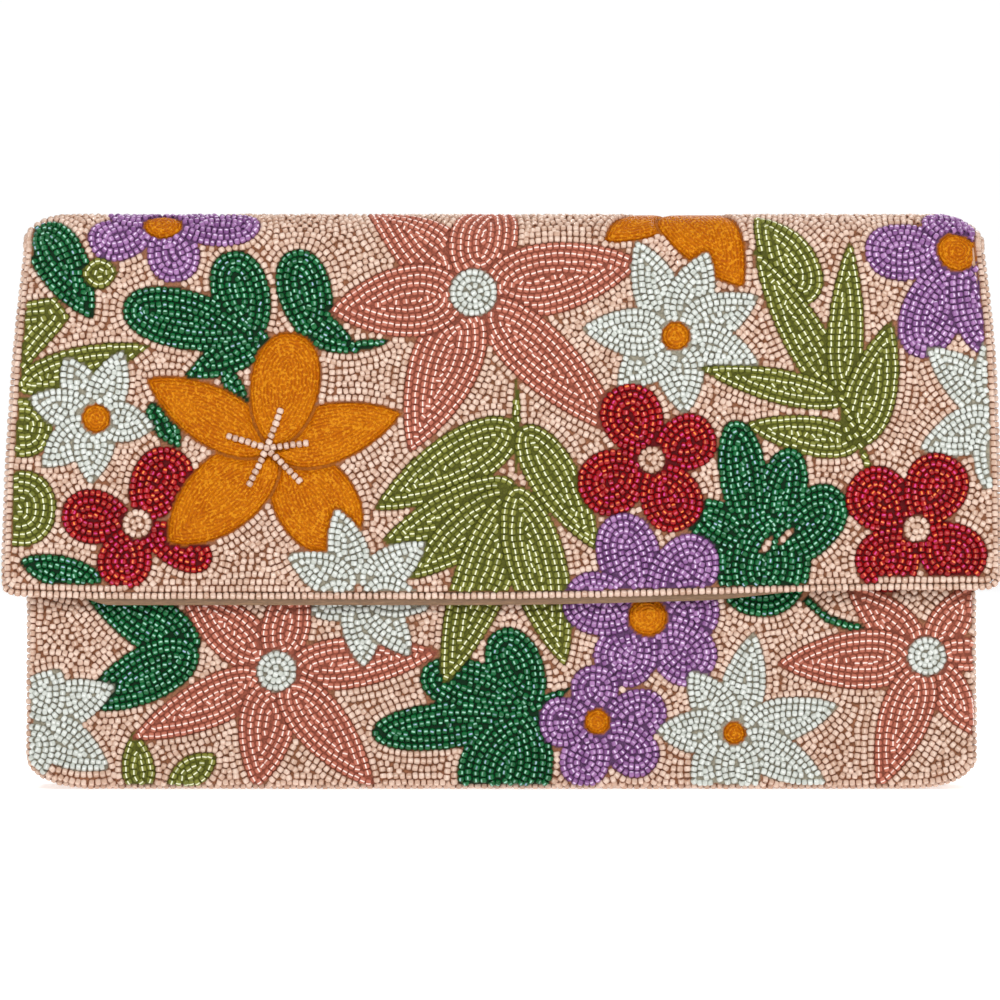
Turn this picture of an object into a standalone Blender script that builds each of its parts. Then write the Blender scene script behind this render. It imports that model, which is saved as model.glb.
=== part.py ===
"""Beaded fold-over clutch purse: panels, soft fold, gussets, lining, pocket and magnetic snap.

Metres, +Z up. X is the width, the front with the flap faces -Y, and the base stands on Z = 0.
The fold over the top is a part of a circle. The back panel and the flap are the two planes that touch that circle,
so both lean in towards the top. The front panel runs parallel to the flap, one flap's thickness inside it.
A place on a panel is (x, height, depth): depth is measured inwards from the outer face of the panel's beads.
"""

import math

import bmesh
import bpy
from mathutils import Matrix, Vector

# Driving dimensions.
HEIGHT = 0.154  # base to the top of the fold
FLAP_WIDTH = 0.267  # at its lower edge, its widest
BODY_WIDTH = 0.254  # front and back panels
DEPTH = 0.032  # overall, over the flap's lower edge and the back
FOLD_RADIUS = 0.0100  # outside of the beads on the top fold
FLAP_EDGE_HEIGHT = 0.0492  # lowest point of the flap's lower edge above the base
FLAP_SLANT = 0.0024  # the right end of that edge hangs this much higher
FLAP_FLARE = 0.0066  # the flap is this much narrower on each side at the fold
FLAP_CORNER = 0.004
BODY_CORNER = (0.018, 0.009)  # half-axes of the base's rounded corners
MOUTH_HEIGHT = 0.138  # top edge of the front panel
UNDERLAP = 0.0168  # the front panel's beads run on this far above the flap's edge, hidden by the flap

BEAD_LAYER = 0.0022  # one seed bead, sewn flat
SATIN = 0.0004
BOARD = 0.0007  # stiffening card
LINING = 0.0003
GAP = 0.0003
EDGE_TURN = 0.0015  # strip of turned satin that shows below the flap's edge row

SNAP_DIAMETER = 0.0170
SNAP_ABOVE_BEADS = 0.0015
SNAP_STUD = 0.0060
SNAP_CLEARANCE = 0.0008
SNAP_PLATE = 0.0200
PRONG = (0.0030, 0.0006)

POCKET = (0.130, 0.068)  # width and height
POCKET_BOTTOM = 0.014
GUSSET_TOP = 0.128
GUSSET_FOLD_TOP = 0.0150  # how far the gusset's crease lies in from the side, at its top
GUSSET_FOLD_BASE = 0.0040
GUSSET_CLOTH = 0.0005
BINDING = 0.0004
BINDING_DROP = 0.0042

# Layers, as (outer depth, inner depth) below the outer face of the beads.
BEADS = (0.0, BEAD_LAYER)
CLOTH = (BEADS[1] + GAP, BEADS[1] + GAP + SATIN)
CARD = (CLOTH[1] + GAP, CLOTH[1] + GAP + BOARD)
INNER = (CARD[1] + GAP, CARD[1] + GAP + LINING)
STACK = INNER[1]
FRONT = STACK + GAP  # the front panel's beads begin this far inside the flap's

CENTRE = HEIGHT - FOLD_RADIUS  # height of the fold's axis
BEADED_FRONT = FLAP_EDGE_HEIGHT + UNDERLAP
SNAP_HEIGHT = BEADED_FRONT + SNAP_ABOVE_BEADS + SNAP_DIAMETER / 2
BASE_TOP = BEAD_LAYER  # top of the base's beads
PANEL_FOOT = BASE_TOP + 0.0004

collection = cutters = None


def lean(height):
    """Lean of a plane that touches the fold and is half of DEPTH from the middle at that height."""
    drop = CENTRE - height
    return math.acos(FOLD_RADIUS / math.hypot(DEPTH / 2, drop)) - math.atan2(
        drop, DEPTH / 2
    )


class Panel:
    """A leaning plane. side is -1 for the front and the flap, 1 for the back."""

    def __init__(self, side, angle):
        self.side, self.angle = side, angle
        self.touch = Vector(
            (
                0,
                side * FOLD_RADIUS * math.cos(angle),
                CENTRE + FOLD_RADIUS * math.sin(angle),
            )
        )
        self.up = Vector((0, -side * math.sin(angle), math.cos(angle)))
        self.inwards = Vector((0, -side * math.cos(angle), -math.sin(angle)))
        self.turn = math.pi / 2 + side * angle

    def along(self, height, depth):
        """Distance up the panel from the line where it touches the fold, for a height above the base."""
        return (height - self.touch.z - depth * self.inwards.z) / self.up.z

    def top(self, layer, short=GAP / 2):
        """Height of a plate's upper edge that stops short of the line where its layer touches the fold."""
        middle = (layer[0] + layer[1]) / 2
        return self.touch.z - short * self.up.z + middle * self.inwards.z

    def place(self, x, height, depth):
        return (
            Vector((x, 0, 0))
            + self.touch
            + self.up * self.along(height, depth)
            + self.inwards * depth
        )


FACE = Panel(-1, lean(FLAP_EDGE_HEIGHT + EDGE_TURN + BEAD_LAYER / 2))
BACK = Panel(1, lean(PANEL_FOOT))


def material(name, colour, roughness, metallic=0.0, coat=0.0):
    made = bpy.data.materials.get(name)
    if made is None:
        made = bpy.data.materials.new(name)
        made.use_nodes = True
        shader = made.node_tree.nodes["Principled BSDF"]
        shader.inputs["Base Color"].default_value = (*colour, 1)
        shader.inputs["Roughness"].default_value = roughness
        shader.inputs["Metallic"].default_value = metallic
        shader.inputs["Coat Weight"].default_value = coat
    return made


def finish(thing, look, axis=None):
    thing.data.materials.clear()
    thing.data.materials.append(material(*look))
    collection.objects.link(thing)
    if axis is not None:
        thing.parent = axis
        thing.matrix_parent_inverse = Matrix.Translation(-AXES_AT[axis.name])
    return thing


def outline_curve(name, outlines, thickness):
    data = bpy.data.curves.new(name, "CURVE")
    data.dimensions, data.fill_mode = "2D", "BOTH"
    data.extrude = thickness / 2
    for points in outlines:
        spline = data.splines.new("POLY")
        spline.points.add(len(points) - 1)
        for point, (a, b) in zip(spline.points, points):
            point.co = (a, b, 0, 1)
        spline.use_cyclic_u = True
    return bpy.data.objects.new(name, data)


def plate(name, look, panel, outline, layer, axis=None, holes=(), snap=False):
    """A flat piece of a panel. outline and holes are lists of (x, height).

    Heights of holes, and of the snap's own plates, are read on the bead face, so that they share one axis square to it.
    """
    middle = (layer[0] + layer[1]) / 2
    flat = [[(x, panel.along(z, 0 if snap else middle)) for x, z in outline]]
    flat += [[(x, panel.along(z, 0)) for x, z in hole] for hole in holes]
    thing = outline_curve(name, flat, layer[1] - layer[0])
    thing.location = panel.touch + panel.inwards * middle
    thing.rotation_euler = (panel.turn, 0, 0)
    return finish(thing, look, axis)


def section(name, look, points, start, end, axis=None):
    """A strip of one cross-section, given as (y, z), that runs along X."""
    thing = outline_curve(name, [points], end - start)
    thing.location = ((start + end) / 2, 0, 0)
    thing.rotation_euler = (math.pi / 2, 0, math.pi / 2)
    return finish(thing, look, axis)


def circle(x, z, radius, steps=40):
    return [
        (
            x + radius * math.cos(2 * math.pi * i / steps),
            z + radius * math.sin(2 * math.pi * i / steps),
        )
        for i in range(steps)
    ]


def rectangle(x, z, width, height):
    return [
        (x - width / 2, z - height / 2),
        (x + width / 2, z - height / 2),
        (x + width / 2, z + height / 2),
        (x - width / 2, z + height / 2),
    ]


def rounded(corners, radius, steps=5):
    """A polygon with its corners rounded."""
    out = []
    for i, corner in enumerate(corners):
        here = Vector(corner)
        before = (Vector(corners[i - 1]) - here).normalized()
        after = (Vector(corners[(i + 1) % len(corners)]) - here).normalized()
        half = before.angle(after) / 2
        reach = radius / math.tan(half)
        middle = here + (before + after).normalized() * radius / math.sin(half)
        a, b = here + before * reach - middle, here + after * reach - middle
        for step in range(steps + 1):
            swung = (a * (steps - step) + b * step).normalized()
            out.append(tuple(middle + swung * radius))
    return out


def smooth(t):
    t = min(max(t, 0.0), 1.0)
    return t * t * (3 - 2 * t)


def flap_edge(x):
    """Height of the flap's lower edge. It hangs a little higher to the right and at the left corner."""
    half = FLAP_WIDTH / 2
    return (
        FLAP_EDGE_HEIGHT
        + FLAP_SLANT * smooth((x / half + 0.075) / 0.94)
        + 0.27 * FLAP_SLANT * smooth((-x / half - 0.75) / 0.25)
    )


def flap_half(height):
    """Half the flap's width at a height."""
    t = min(
        max((height - FLAP_EDGE_HEIGHT) / (FACE.touch.z - FLAP_EDGE_HEIGHT), 0.0), 1.0
    )
    return FLAP_WIDTH / 2 - FLAP_FLARE * t**2.3


def flap_outline(inset, lift, top):
    """The flap's shape: inset from the sides, lifted off the lower edge, up to a height."""
    half = flap_half(FLAP_EDGE_HEIGHT) - inset
    corner = max(FLAP_CORNER - inset, 0.001)
    columns = [half - corner - 2 * (half - corner) * i / 24 for i in range(25)]
    lower = [(x, flap_edge(x) + lift) for x in columns]
    heights = [
        FLAP_EDGE_HEIGHT
        + lift
        + FLAP_SLANT
        + corner
        + 0.0005
        + (top - FLAP_EDGE_HEIGHT - lift - FLAP_SLANT - corner - 0.0005) * i / 8
        for i in range(9)
    ]
    left = [(-flap_half(z) + inset, z) for z in heights]
    right = [(flap_half(z) - inset, z) for z in reversed(heights)]
    near, far = lower[-1], lower[0]
    arc_left = [
        (
            near[0] - corner * math.sin(a),
            near[1] + corner * (1 - math.cos(a)),
        )
        for a in (math.pi / 8, math.pi / 4, 3 * math.pi / 8)
    ]
    arc_right = [
        (
            far[0] + corner * math.sin(a),
            far[1] + corner * (1 - math.cos(a)),
        )
        for a in (3 * math.pi / 8, math.pi / 4, math.pi / 8)
    ]
    return [*lower, *arc_left, *left, *right, *arc_right]


def body_outline(inset, foot, top, narrowing=0.0):
    """The front's and the back's shape, with the base's rounded corners, from one height to another."""
    half = BODY_WIDTH / 2 - inset
    wide, tall = BODY_CORNER
    side = []
    for i in range(9):
        a = math.pi / 2 * i / 8
        z = tall * (1 - math.cos(a))
        x = half - wide + wide * math.sin(a)
        if z > foot + 0.0002:
            side.append((x, z + inset / 2))
    first = max(
        1 - ((half - side[0][0]) / wide), 0.0
    )  # where the foot's line meets the corner
    start = half - wide + wide * math.sin(math.acos(max(1 - foot / tall, 0.0)))
    start = min(start - inset * first, side[0][0] - 0.0005)
    right = [(start, foot), *side, (half - narrowing, top)]
    return [*right, *[(-x, z) for x, z in reversed(right)]]


def arch(radii, start, end, steps=18):
    """Cross-section of the fold between two radii. Angles are from +Y, over the top."""
    angles = [start + (end - start) * i / steps for i in range(steps + 1)]
    outer = [
        (radii[0] * math.cos(a), CENTRE + radii[0] * math.sin(a)) for a in angles
    ]
    inner = [
        (radii[1] * math.cos(a), CENTRE + radii[1] * math.sin(a))
        for a in reversed(angles)
    ]
    return [*outer, *inner]


def turned(name, look, profile, x, height, axis=None):
    """A round piece on the face, whose axis is the panel's normal. profile is (radius, depth), outer side first."""
    data = bpy.data.meshes.new(name)
    closed = profile[0][0] > 0 and profile[-1][0] > 0
    count = len(profile)
    data.from_pydata(
        [(radius, 0, -depth) for radius, depth in profile],
        [(i, (i + 1) % count) for i in range(count if closed else count - 1)],
        [],
    )
    thing = bpy.data.objects.new(name, data)
    spin = thing.modifiers.new("spin", "SCREW")
    spin.axis, spin.angle, spin.steps, spin.render_steps = "Z", 2 * math.pi, 40, 40
    spin.use_merge_vertices, spin.merge_threshold = not closed, 0.00001
    spin.use_smooth_shade = False
    thing.location = FACE.place(x, height, 0)
    thing.rotation_euler = (FACE.turn, 0, 0)
    return finish(thing, look, axis)


def block(name, x, height, depth, size):
    """A hidden box on the face, used to join or cut. size is (width, height, thickness)."""
    bpy.ops.mesh.primitive_cube_add(size=1)
    thing = bpy.context.object
    thing.name = name
    for vertex in thing.data.vertices:
        vertex.co = [c * s for c, s in zip(vertex.co, size)]
    thing.location = FACE.place(x, height, 0) + FACE.inwards * depth
    thing.rotation_euler = (FACE.turn, 0, 0)
    for held in list(thing.users_collection):
        held.objects.unlink(thing)
    cutters.objects.link(thing)
    thing.hide_render, thing.display_type = True, "WIRE"
    return thing


def gusset(name, look, sign, rows=8):
    """A strip of cloth with a crease down its middle that closes one side. The crease lies further in towards the top."""
    shape = bmesh.new()
    grid = []
    for i in range(rows + 1):
        t = i / rows
        height = BASE_TOP + 0.0045 + (GUSSET_TOP - BASE_TOP - 0.0045) * t
        fold = GUSSET_FOLD_BASE + (GUSSET_FOLD_TOP - GUSSET_FOLD_BASE) * t
        outer = BODY_WIDTH / 2 - 0.006
        clear = STACK + 2 * GAP + GUSSET_CLOTH
        front = FACE.place(0, height, FRONT + clear).y
        back = BACK.place(0, height, clear).y
        grid.append(
            [
                shape.verts.new((sign * x, y, height))
                for x, y in (
                    (outer, front),
                    (outer - fold, (front + back) / 2),
                    (outer, back),
                )
            ]
        )
    for low, high in zip(grid, grid[1:]):
        for j in range(2):
            shape.faces.new((low[j], low[j + 1], high[j + 1]))
            shape.faces.new((low[j], high[j + 1], high[j]))
    data = bpy.data.meshes.new(name)
    shape.to_mesh(data)
    shape.free()
    thing = bpy.data.objects.new(name, data)
    cloth = thing.modifiers.new("cloth", "SOLIDIFY")
    cloth.thickness, cloth.offset = GUSSET_CLOTH, 0
    return finish(thing, look)


for thing in list(bpy.data.objects):
    bpy.data.objects.remove(thing)
collection = bpy.data.collections.new("clutch_purse")
cutters = bpy.data.collections.new("clutch_purse_cutters")
bpy.context.scene.collection.children.link(collection)
bpy.context.scene.collection.children.link(cutters)

BEAD_LOOK = ("peach_beads", (0.80, 0.58, 0.46), 0.18, 0.0, 0.5)
EDGE_LOOK = ("edge_beads", (0.82, 0.60, 0.48), 0.18, 0.0, 0.5)
SATIN_LOOK = ("backing_satin", (0.62, 0.42, 0.30), 0.45)
CARD_LOOK = ("stiffening_card", (0.62, 0.57, 0.50), 0.85)
LINING_LOOK = ("lining_satin", (0.70, 0.50, 0.38), 0.35)
BINDING_LOOK = ("binding_satin", (0.58, 0.38, 0.27), 0.45)
SNAP_LOOK = ("snap_plating", (0.83, 0.74, 0.55), 0.22, 1.0)
PLATE_LOOK = ("snap_plate_steel", (0.66, 0.66, 0.67), 0.35, 1.0)
MAGNET_LOOK = ("snap_magnet_ferrite", (0.06, 0.06, 0.065), 0.55)

# Joint axes. The fold turns on the back panel, and the flap on the fold, each on the line between beads and satin.
HINGE_RADIUS = FOLD_RADIUS - BEAD_LAYER - GAP / 2
LIFT_AT = Vector(
    (
        0,
        HINGE_RADIUS * math.cos(BACK.angle),
        CENTRE + HINGE_RADIUS * math.sin(BACK.angle),
    )
)
UNROLL_AT = Vector(
    (
        0,
        -HINGE_RADIUS * math.cos(FACE.angle),
        CENTRE + HINGE_RADIUS * math.sin(FACE.angle),
    )
)
MOUTH_AT = FACE.place(0, PANEL_FOOT, FRONT)
AXES_AT = {
    "flap_lift_axis": LIFT_AT,
    "flap_unroll_axis": UNROLL_AT,
    "mouth_open_axis": MOUTH_AT,
}
axes = {}
for name, place in AXES_AT.items():
    axes[name] = bpy.data.objects.new(name, None)
    axes[name].location = place
    axes[name].empty_display_size = 0.02
    collection.objects.link(axes[name])
axes["flap_unroll_axis"].parent = axes["flap_lift_axis"]
axes["flap_unroll_axis"].matrix_parent_inverse = Matrix.Translation(-LIFT_AT)
FOLD_ON, FLAP_ON, FRONT_ON = (
    axes["flap_lift_axis"],
    axes["flap_unroll_axis"],
    axes["mouth_open_axis"],
)

# The beads stop short of each hinge line, so that they can close up as the fold straightens.
CLEAR = BEAD_LAYER + 0.0004

# Back panel.
plate(
    "back_beadwork", BEAD_LOOK, BACK, body_outline(0, PANEL_FOOT, BACK.top(BEADS, CLEAR), 0.002), BEADS
)
plate("back_satin", SATIN_LOOK, BACK, body_outline(0.001, PANEL_FOOT, BACK.top(CLOTH), 0.003), CLOTH)
plate(
    "back_board",
    CARD_LOOK,
    BACK,
    body_outline(0.003, PANEL_FOOT + 0.001, BACK.top(CARD, 0.004), 0.002),
    CARD,
)
plate(
    "back_lining",
    LINING_LOOK,
    BACK,
    body_outline(0.002, PANEL_FOOT + 0.0045, BACK.top(INNER), 0.003),
    INNER,
)

# Base: a beaded strip, a board and a lining between the two panels.
base_front = FACE.place(0, BASE_TOP / 2, FRONT).y + 0.0012
base_back = BACK.place(0, BASE_TOP / 2, 0).y - 0.0012
base_half = BODY_WIDTH / 2 - BODY_CORNER[0] * 0.60


def slab(name, look, half, front, back, low, high, corner, bevel=0.0):
    """A flat piece that lies level."""
    thing = outline_curve(
        name,
        [
            rounded(
                [(-half, front), (half, front), (half, back), (-half, back)], corner
            )
        ],
        high - low,
    )
    thing.location = (0, 0, (low + high) / 2)
    return finish(thing, look)


slab("base_beadwork", BEAD_LOOK, base_half, base_front, base_back, 0, BASE_TOP, 0.005)
inner_front = FACE.place(0, PANEL_FOOT, FRONT + STACK).y
inner_back = BACK.place(0, PANEL_FOOT, STACK).y
board_low = PANEL_FOOT + 0.0002
slab(
    "base_board",
    CARD_LOOK,
    base_half - 0.006,
    inner_front + 0.0015,
    inner_back - 0.0006,
    board_low,
    board_low + 2 * BOARD,
    0.003,
)
slab(
    "base_lining",
    LINING_LOOK,
    base_half - 0.005,
    inner_front + 0.0012,
    inner_back - 0.0006,
    board_low + 2 * BOARD + GAP,
    board_low + 2 * BOARD + GAP + LINING,
    0.003,
)

# Side gussets.
gusset("gusset_left", SATIN_LOOK, -1)
gusset("gusset_right", SATIN_LOOK, 1)

# Slip pocket on the back lining, with a bound top edge.
pocket_layer = (STACK + GAP, STACK + GAP + SATIN)
pocket_z = POCKET_BOTTOM + POCKET[1] / 2
plate(
    "slip_pocket",
    LINING_LOOK,
    BACK,
    rounded(rectangle(0, pocket_z, *POCKET), 0.008),
    pocket_layer,
)
plate(
    "pocket_binding",
    BINDING_LOOK,
    BACK,
    rounded(
        rectangle(0, POCKET_BOTTOM + POCKET[1] + GAP + 0.002, POCKET[0], 0.0036), 0.0015
    ),
    (STACK + GAP, STACK + GAP + 2 * SATIN),
)

# Front panel: beads low down, satin all over, board and lining. The snap's socket is let into it.
socket_hole = circle(0, SNAP_HEIGHT, SNAP_DIAMETER / 2 + GAP)
plate_hole = circle(0, SNAP_HEIGHT, SNAP_PLATE / 2 + GAP)


def under(layer):
    return (FRONT + layer[0], FRONT + layer[1])


mouth = MOUTH_HEIGHT
plate(
    "front_beadwork",
    BEAD_LOOK,
    FACE,
    body_outline(0, PANEL_FOOT, BEADED_FRONT),
    under(BEADS),
    FRONT_ON,
)
plate(
    "front_satin",
    SATIN_LOOK,
    FACE,
    body_outline(0.001, PANEL_FOOT, mouth, 0.0035),
    under(CLOTH),
    FRONT_ON,
    [socket_hole],
)
plate(
    "front_board",
    CARD_LOOK,
    FACE,
    body_outline(0.003, PANEL_FOOT + 0.001, mouth - 0.001, 0.003),
    under(CARD),
    FRONT_ON,
    [plate_hole],
)
plate(
    "front_lining",
    LINING_LOOK,
    FACE,
    body_outline(0.002, PANEL_FOOT + 0.0015, mouth, 0.0035),
    under(INNER),
    FRONT_ON,
)


def mouth_tape():
    """Cross-section of the tape folded over the front panel's top edge."""
    outer, inner = (
        FRONT + CLOTH[0] - GAP - BINDING,
        FRONT + STACK + GAP + BINDING,
    )
    top = mouth + GAP
    low = mouth - BINDING_DROP
    corners = [
        (outer, low),
        (outer, top + BINDING),
        (inner, top + BINDING),
        (inner, low),
        (inner - BINDING, low),
        (inner - BINDING, top),
        (outer + BINDING, top),
        (outer + BINDING, low),
    ]
    out = []
    for depth, z in corners:
        place = FACE.place(0, z, depth)
        out.append((place.y, place.z))
    return out


mouth_half = BODY_WIDTH / 2 - 0.0045
section("mouth_binding", BINDING_LOOK, mouth_tape(), -mouth_half, mouth_half, FRONT_ON)

# Snap. Depths run inwards from the flap's beads: stud disc, stud, socket case, magnet and the two plates behind.
disc = (STACK + GAP, STACK + GAP + BEAD_LAYER * 0.32)
case_front = disc[1] + GAP
case_back = FRONT + CLOTH[1] - 0.0001
stud_tip = FRONT + BEADS[1]
face_wall = BEAD_LAYER * 0.2
stud_r, hole_r, rim_r = (
    SNAP_STUD / 2,
    SNAP_STUD / 2 + SNAP_CLEARANCE,
    SNAP_DIAMETER / 2,
)
turned(
    "snap_stud",
    SNAP_LOOK,
    [
        (0, disc[0]),
        (rim_r, disc[0]),
        (rim_r, disc[1] - 0.0002),
        (rim_r - 0.0003, disc[1]),
        (stud_r + 0.0004, disc[1]),
        (stud_r, disc[1] + 0.0003),
        (stud_r, stud_tip - 0.0004),
        (stud_r - 0.0004, stud_tip),
        (0, stud_tip),
    ],
    0,
    SNAP_HEIGHT,
    FLAP_ON,
)
stud = collection.objects["snap_stud"]
slits = []
for sign in (-1, 1):
    x = sign * SNAP_DIAMETER * 0.27
    prong = block(
        f"prong_{sign}",
        x,
        SNAP_HEIGHT,
        (CARD[0] + 0.0001 + disc[0] + 0.0001) / 2,
        (PRONG[1], PRONG[0], disc[0] - CARD[0]),
    )
    join = stud.modifiers.new(f"prong_{sign}", "BOOLEAN")
    join.operation, join.solver, join.object = "UNION", "EXACT", prong
    slits.append(
        rectangle(x, SNAP_HEIGHT, PRONG[1] + 2 * GAP, PRONG[0] + 2 * GAP)
    )
turned(
    "snap_socket_case",
    SNAP_LOOK,
    [
        (hole_r, case_front),
        (rim_r - 0.0003, case_front),
        (rim_r, case_front + 0.0003),
        (rim_r, case_back),
        (rim_r - 0.0005, case_back),
        (rim_r - 0.0005, case_front + face_wall),
        (hole_r, case_front + face_wall),
    ],
    0,
    SNAP_HEIGHT,
    FRONT_ON,
)
magnet_layer = (case_front + face_wall + 0.0002, case_back)
plate(
    "snap_magnet",
    MAGNET_LOOK,
    FACE,
    circle(0, SNAP_HEIGHT, rim_r - 0.0005 - GAP),
    magnet_layer,
    FRONT_ON,
    [circle(0, SNAP_HEIGHT, hole_r, 24)],
    snap=True,
)
plate(
    "snap_socket_plate",
    PLATE_LOOK,
    FACE,
    circle(0, SNAP_HEIGHT, SNAP_PLATE / 2),
    (FRONT + CARD[0], FRONT + CARD[0] + BOARD * 0.7),
    FRONT_ON,
    snap=True,
)
plate(
    "snap_stud_plate",
    PLATE_LOOK,
    FACE,
    circle(0, SNAP_HEIGHT, SNAP_PLATE / 2),
    (CARD[0] + BOARD * 0.15, CARD[1] - BOARD * 0.15),
    FLAP_ON,
    slits,
    snap=True,
)

# Fold over the top: beads, satin and lining, without a board, so that it bends.
fold_half = FLAP_WIDTH / 2 - FLAP_FLARE - 0.004
bead_start = math.asin(CLEAR / (FOLD_RADIUS - BEAD_LAYER))
section(
    "fold_beadwork",
    BEAD_LOOK,
    arch(
        (FOLD_RADIUS, FOLD_RADIUS - BEAD_LAYER),
        BACK.angle + bead_start,
        math.pi - FACE.angle - bead_start,
    ),
    -fold_half,
    fold_half,
    FOLD_ON,
)
for name, look, layer in (
    ("fold_satin", SATIN_LOOK, CLOTH),
    ("fold_lining", LINING_LOOK, INNER),
):
    radii = (FOLD_RADIUS - layer[0], FOLD_RADIUS - layer[1])
    start = GAP / 2 / radii[1]
    section(
        name,
        look,
        arch(radii, BACK.angle + start, math.pi - FACE.angle - start),
        -fold_half,
        fold_half,
        FOLD_ON,
    )

# Flap: beads, the straight row along its lower edge, satin with a turned edge, board and lining.
row_radius = BEAD_LAYER / 2
row_lift = EDGE_TURN + row_radius
plate(
    "flap_beadwork",
    BEAD_LOOK,
    FACE,
    flap_outline(0, row_lift + row_radius + GAP, FACE.top(BEADS, CLEAR)),
    BEADS,
    FLAP_ON,
)
plate("flap_satin", SATIN_LOOK, FACE, flap_outline(0.0008, 0, FACE.top(CLOTH)), CLOTH, FLAP_ON)
plate(
    "flap_board",
    CARD_LOOK,
    FACE,
    flap_outline(0.004, 0.004, FACE.top(CARD, 0.004)),
    CARD,
    FLAP_ON,
    [plate_hole],
)
plate(
    "flap_lining",
    LINING_LOOK,
    FACE,
    flap_outline(0.002, 0.0015, FACE.top(INNER)),
    INNER,
    FLAP_ON,
    slits,
)
row = bpy.data.curves.new("flap_edge_row", "CURVE")
row.dimensions, row.bevel_depth, row.bevel_resolution = "3D", row_radius, 2
row.use_fill_caps = True
row_half = FLAP_WIDTH / 2 - FLAP_CORNER * 0.6
spline = row.splines.new("POLY")
spline.points.add(40)
for i, point in enumerate(spline.points):
    x = -row_half + 2 * row_half * i / 40
    point.co = (*FACE.place(x, flap_edge(x) + row_lift, row_radius), 1)
finish(bpy.data.objects.new("flap_edge_row", row), EDGE_LOOK, FLAP_ON)

print(
    "flap_lift",
    [round(c, 5) for c in LIFT_AT],
    "flap_unroll",
    [round(c, 5) for c in UNROLL_AT],
    "mouth_open",
    [round(c, 5) for c in MOUTH_AT],
)
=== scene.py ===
"""Looks of a beaded fold-over clutch purse, built around its packed frame.

The beadwork is laid out flat, in millimetres: x runs across the bag, and h is its height, which goes
on over the fold. Rows of beads follow the outline of each petal and leaf, and the ground is filled
round them.
"""

import math

import bpy
import numpy as np
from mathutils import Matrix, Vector


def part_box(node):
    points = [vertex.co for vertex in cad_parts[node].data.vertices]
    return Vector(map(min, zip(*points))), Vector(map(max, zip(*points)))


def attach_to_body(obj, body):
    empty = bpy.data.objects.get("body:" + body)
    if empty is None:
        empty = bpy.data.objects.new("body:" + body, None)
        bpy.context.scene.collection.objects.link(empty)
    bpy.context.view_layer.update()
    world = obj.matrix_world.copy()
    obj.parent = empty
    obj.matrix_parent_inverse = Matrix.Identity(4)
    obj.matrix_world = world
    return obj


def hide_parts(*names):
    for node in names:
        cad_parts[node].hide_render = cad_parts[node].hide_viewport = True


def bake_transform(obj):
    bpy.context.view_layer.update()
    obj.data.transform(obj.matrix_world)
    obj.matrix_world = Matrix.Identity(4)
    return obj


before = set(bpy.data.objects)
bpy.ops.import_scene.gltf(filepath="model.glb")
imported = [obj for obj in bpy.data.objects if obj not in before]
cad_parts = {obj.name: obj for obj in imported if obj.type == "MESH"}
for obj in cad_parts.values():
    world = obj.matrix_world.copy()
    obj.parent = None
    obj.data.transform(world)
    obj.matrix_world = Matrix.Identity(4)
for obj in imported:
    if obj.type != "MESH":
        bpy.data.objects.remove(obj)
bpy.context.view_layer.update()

bl_info = {
    "name": "Beaded Clutch Purse",
    "version": (1, 0, 0),
    "blender": (4, 5, 0),
    "location": "View3D > Sidebar > Purse",
    "description": "Seed beads, embroidery, satin and snap of a fold-over clutch",
    "category": "Object",
}

MM = 1000.0  # millimetres in a metre

# Sizes of the frame, in millimetres. Depths are measured in from the outer face of the flap's beads.
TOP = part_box("fold_beadwork")[1].z * MM
FOLD_RADIUS = 10.0
BODY_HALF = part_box("front_beadwork")[1].x * MM
FLAP_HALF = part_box("flap_beadwork")[1].x * MM
DEPTH = 32.0  # of the whole bag, at its base
EDGE_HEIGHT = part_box("flap_satin")[0].z * MM
EDGE_SLANT = 2.4  # how much the flap's lower edge rises to one side
EDGE_TURN = 1.5
LAYER = 2.2  # thickness of the beadwork
STACK = 4.5  # thickness of a panel with its beads, card and lining
FRONT_DEPTH = 4.8  # of the front panel's beads
FRONT_BEAD_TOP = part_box("front_beadwork")[1].z * MM
MOUTH = 138.0  # height of the front panel's top edge
CENTRE = TOP - FOLD_RADIUS
RIM = 3.4  # radius of the beadwork where it turns round an edge
RIM_LINE = RIM - 1.0  # the same, at the middle of the beads
RIM_RUN = 4.28  # how far the beadwork runs round that edge
CORNER = (18.0, 9.0)  # half-axes of the body's lower corners
FOOT = 3.0
OPENING_ROOM = 0.9  # between the front's lower edge and the base's first row, for when the front tips out
BASE_ROW = 2.98  # in from a panel's outer face; the base's first row lies one spacing further in
SATIN_DEPTH = 2.45  # from the beads' tops down to the backing satin
LINING_DEPTH = 4.35  # from the beads' tops to the lining
FLAP_LINING_DEPTH = 4.3  # the same on the flap
FOLD_CLOTH_HALF = 122.5  # half the width of the fold's satin and lining


def lean(height):
    drop = CENTRE - height
    return math.acos(FOLD_RADIUS / math.hypot(DEPTH / 2, drop)) - math.atan2(drop, DEPTH / 2)


class Plane:
    """A leaning side of the bag. side is -1 for the front and the flap, 1 for the back."""

    def __init__(self, side, angle):
        self.side, self.angle = side, angle
        self.touch = np.array(
            (0, side * FOLD_RADIUS * math.cos(angle), CENTRE + FOLD_RADIUS * math.sin(angle))
        )
        self.up = np.array((0, -side * math.sin(angle), math.cos(angle)))
        self.inwards = np.array((0, -side * math.cos(angle), -math.sin(angle)))

    def place(self, x, height, depth):
        """Points at a height above the base and a depth below the outer bead face."""
        x, height, depth = np.broadcast_arrays(x, height, depth)
        run = (height - self.touch[2] - depth * self.inwards[2]) / self.up[2]
        out = self.touch + run[..., None] * self.up + depth[..., None] * self.inwards
        out[..., 0] += x
        return out


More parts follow.
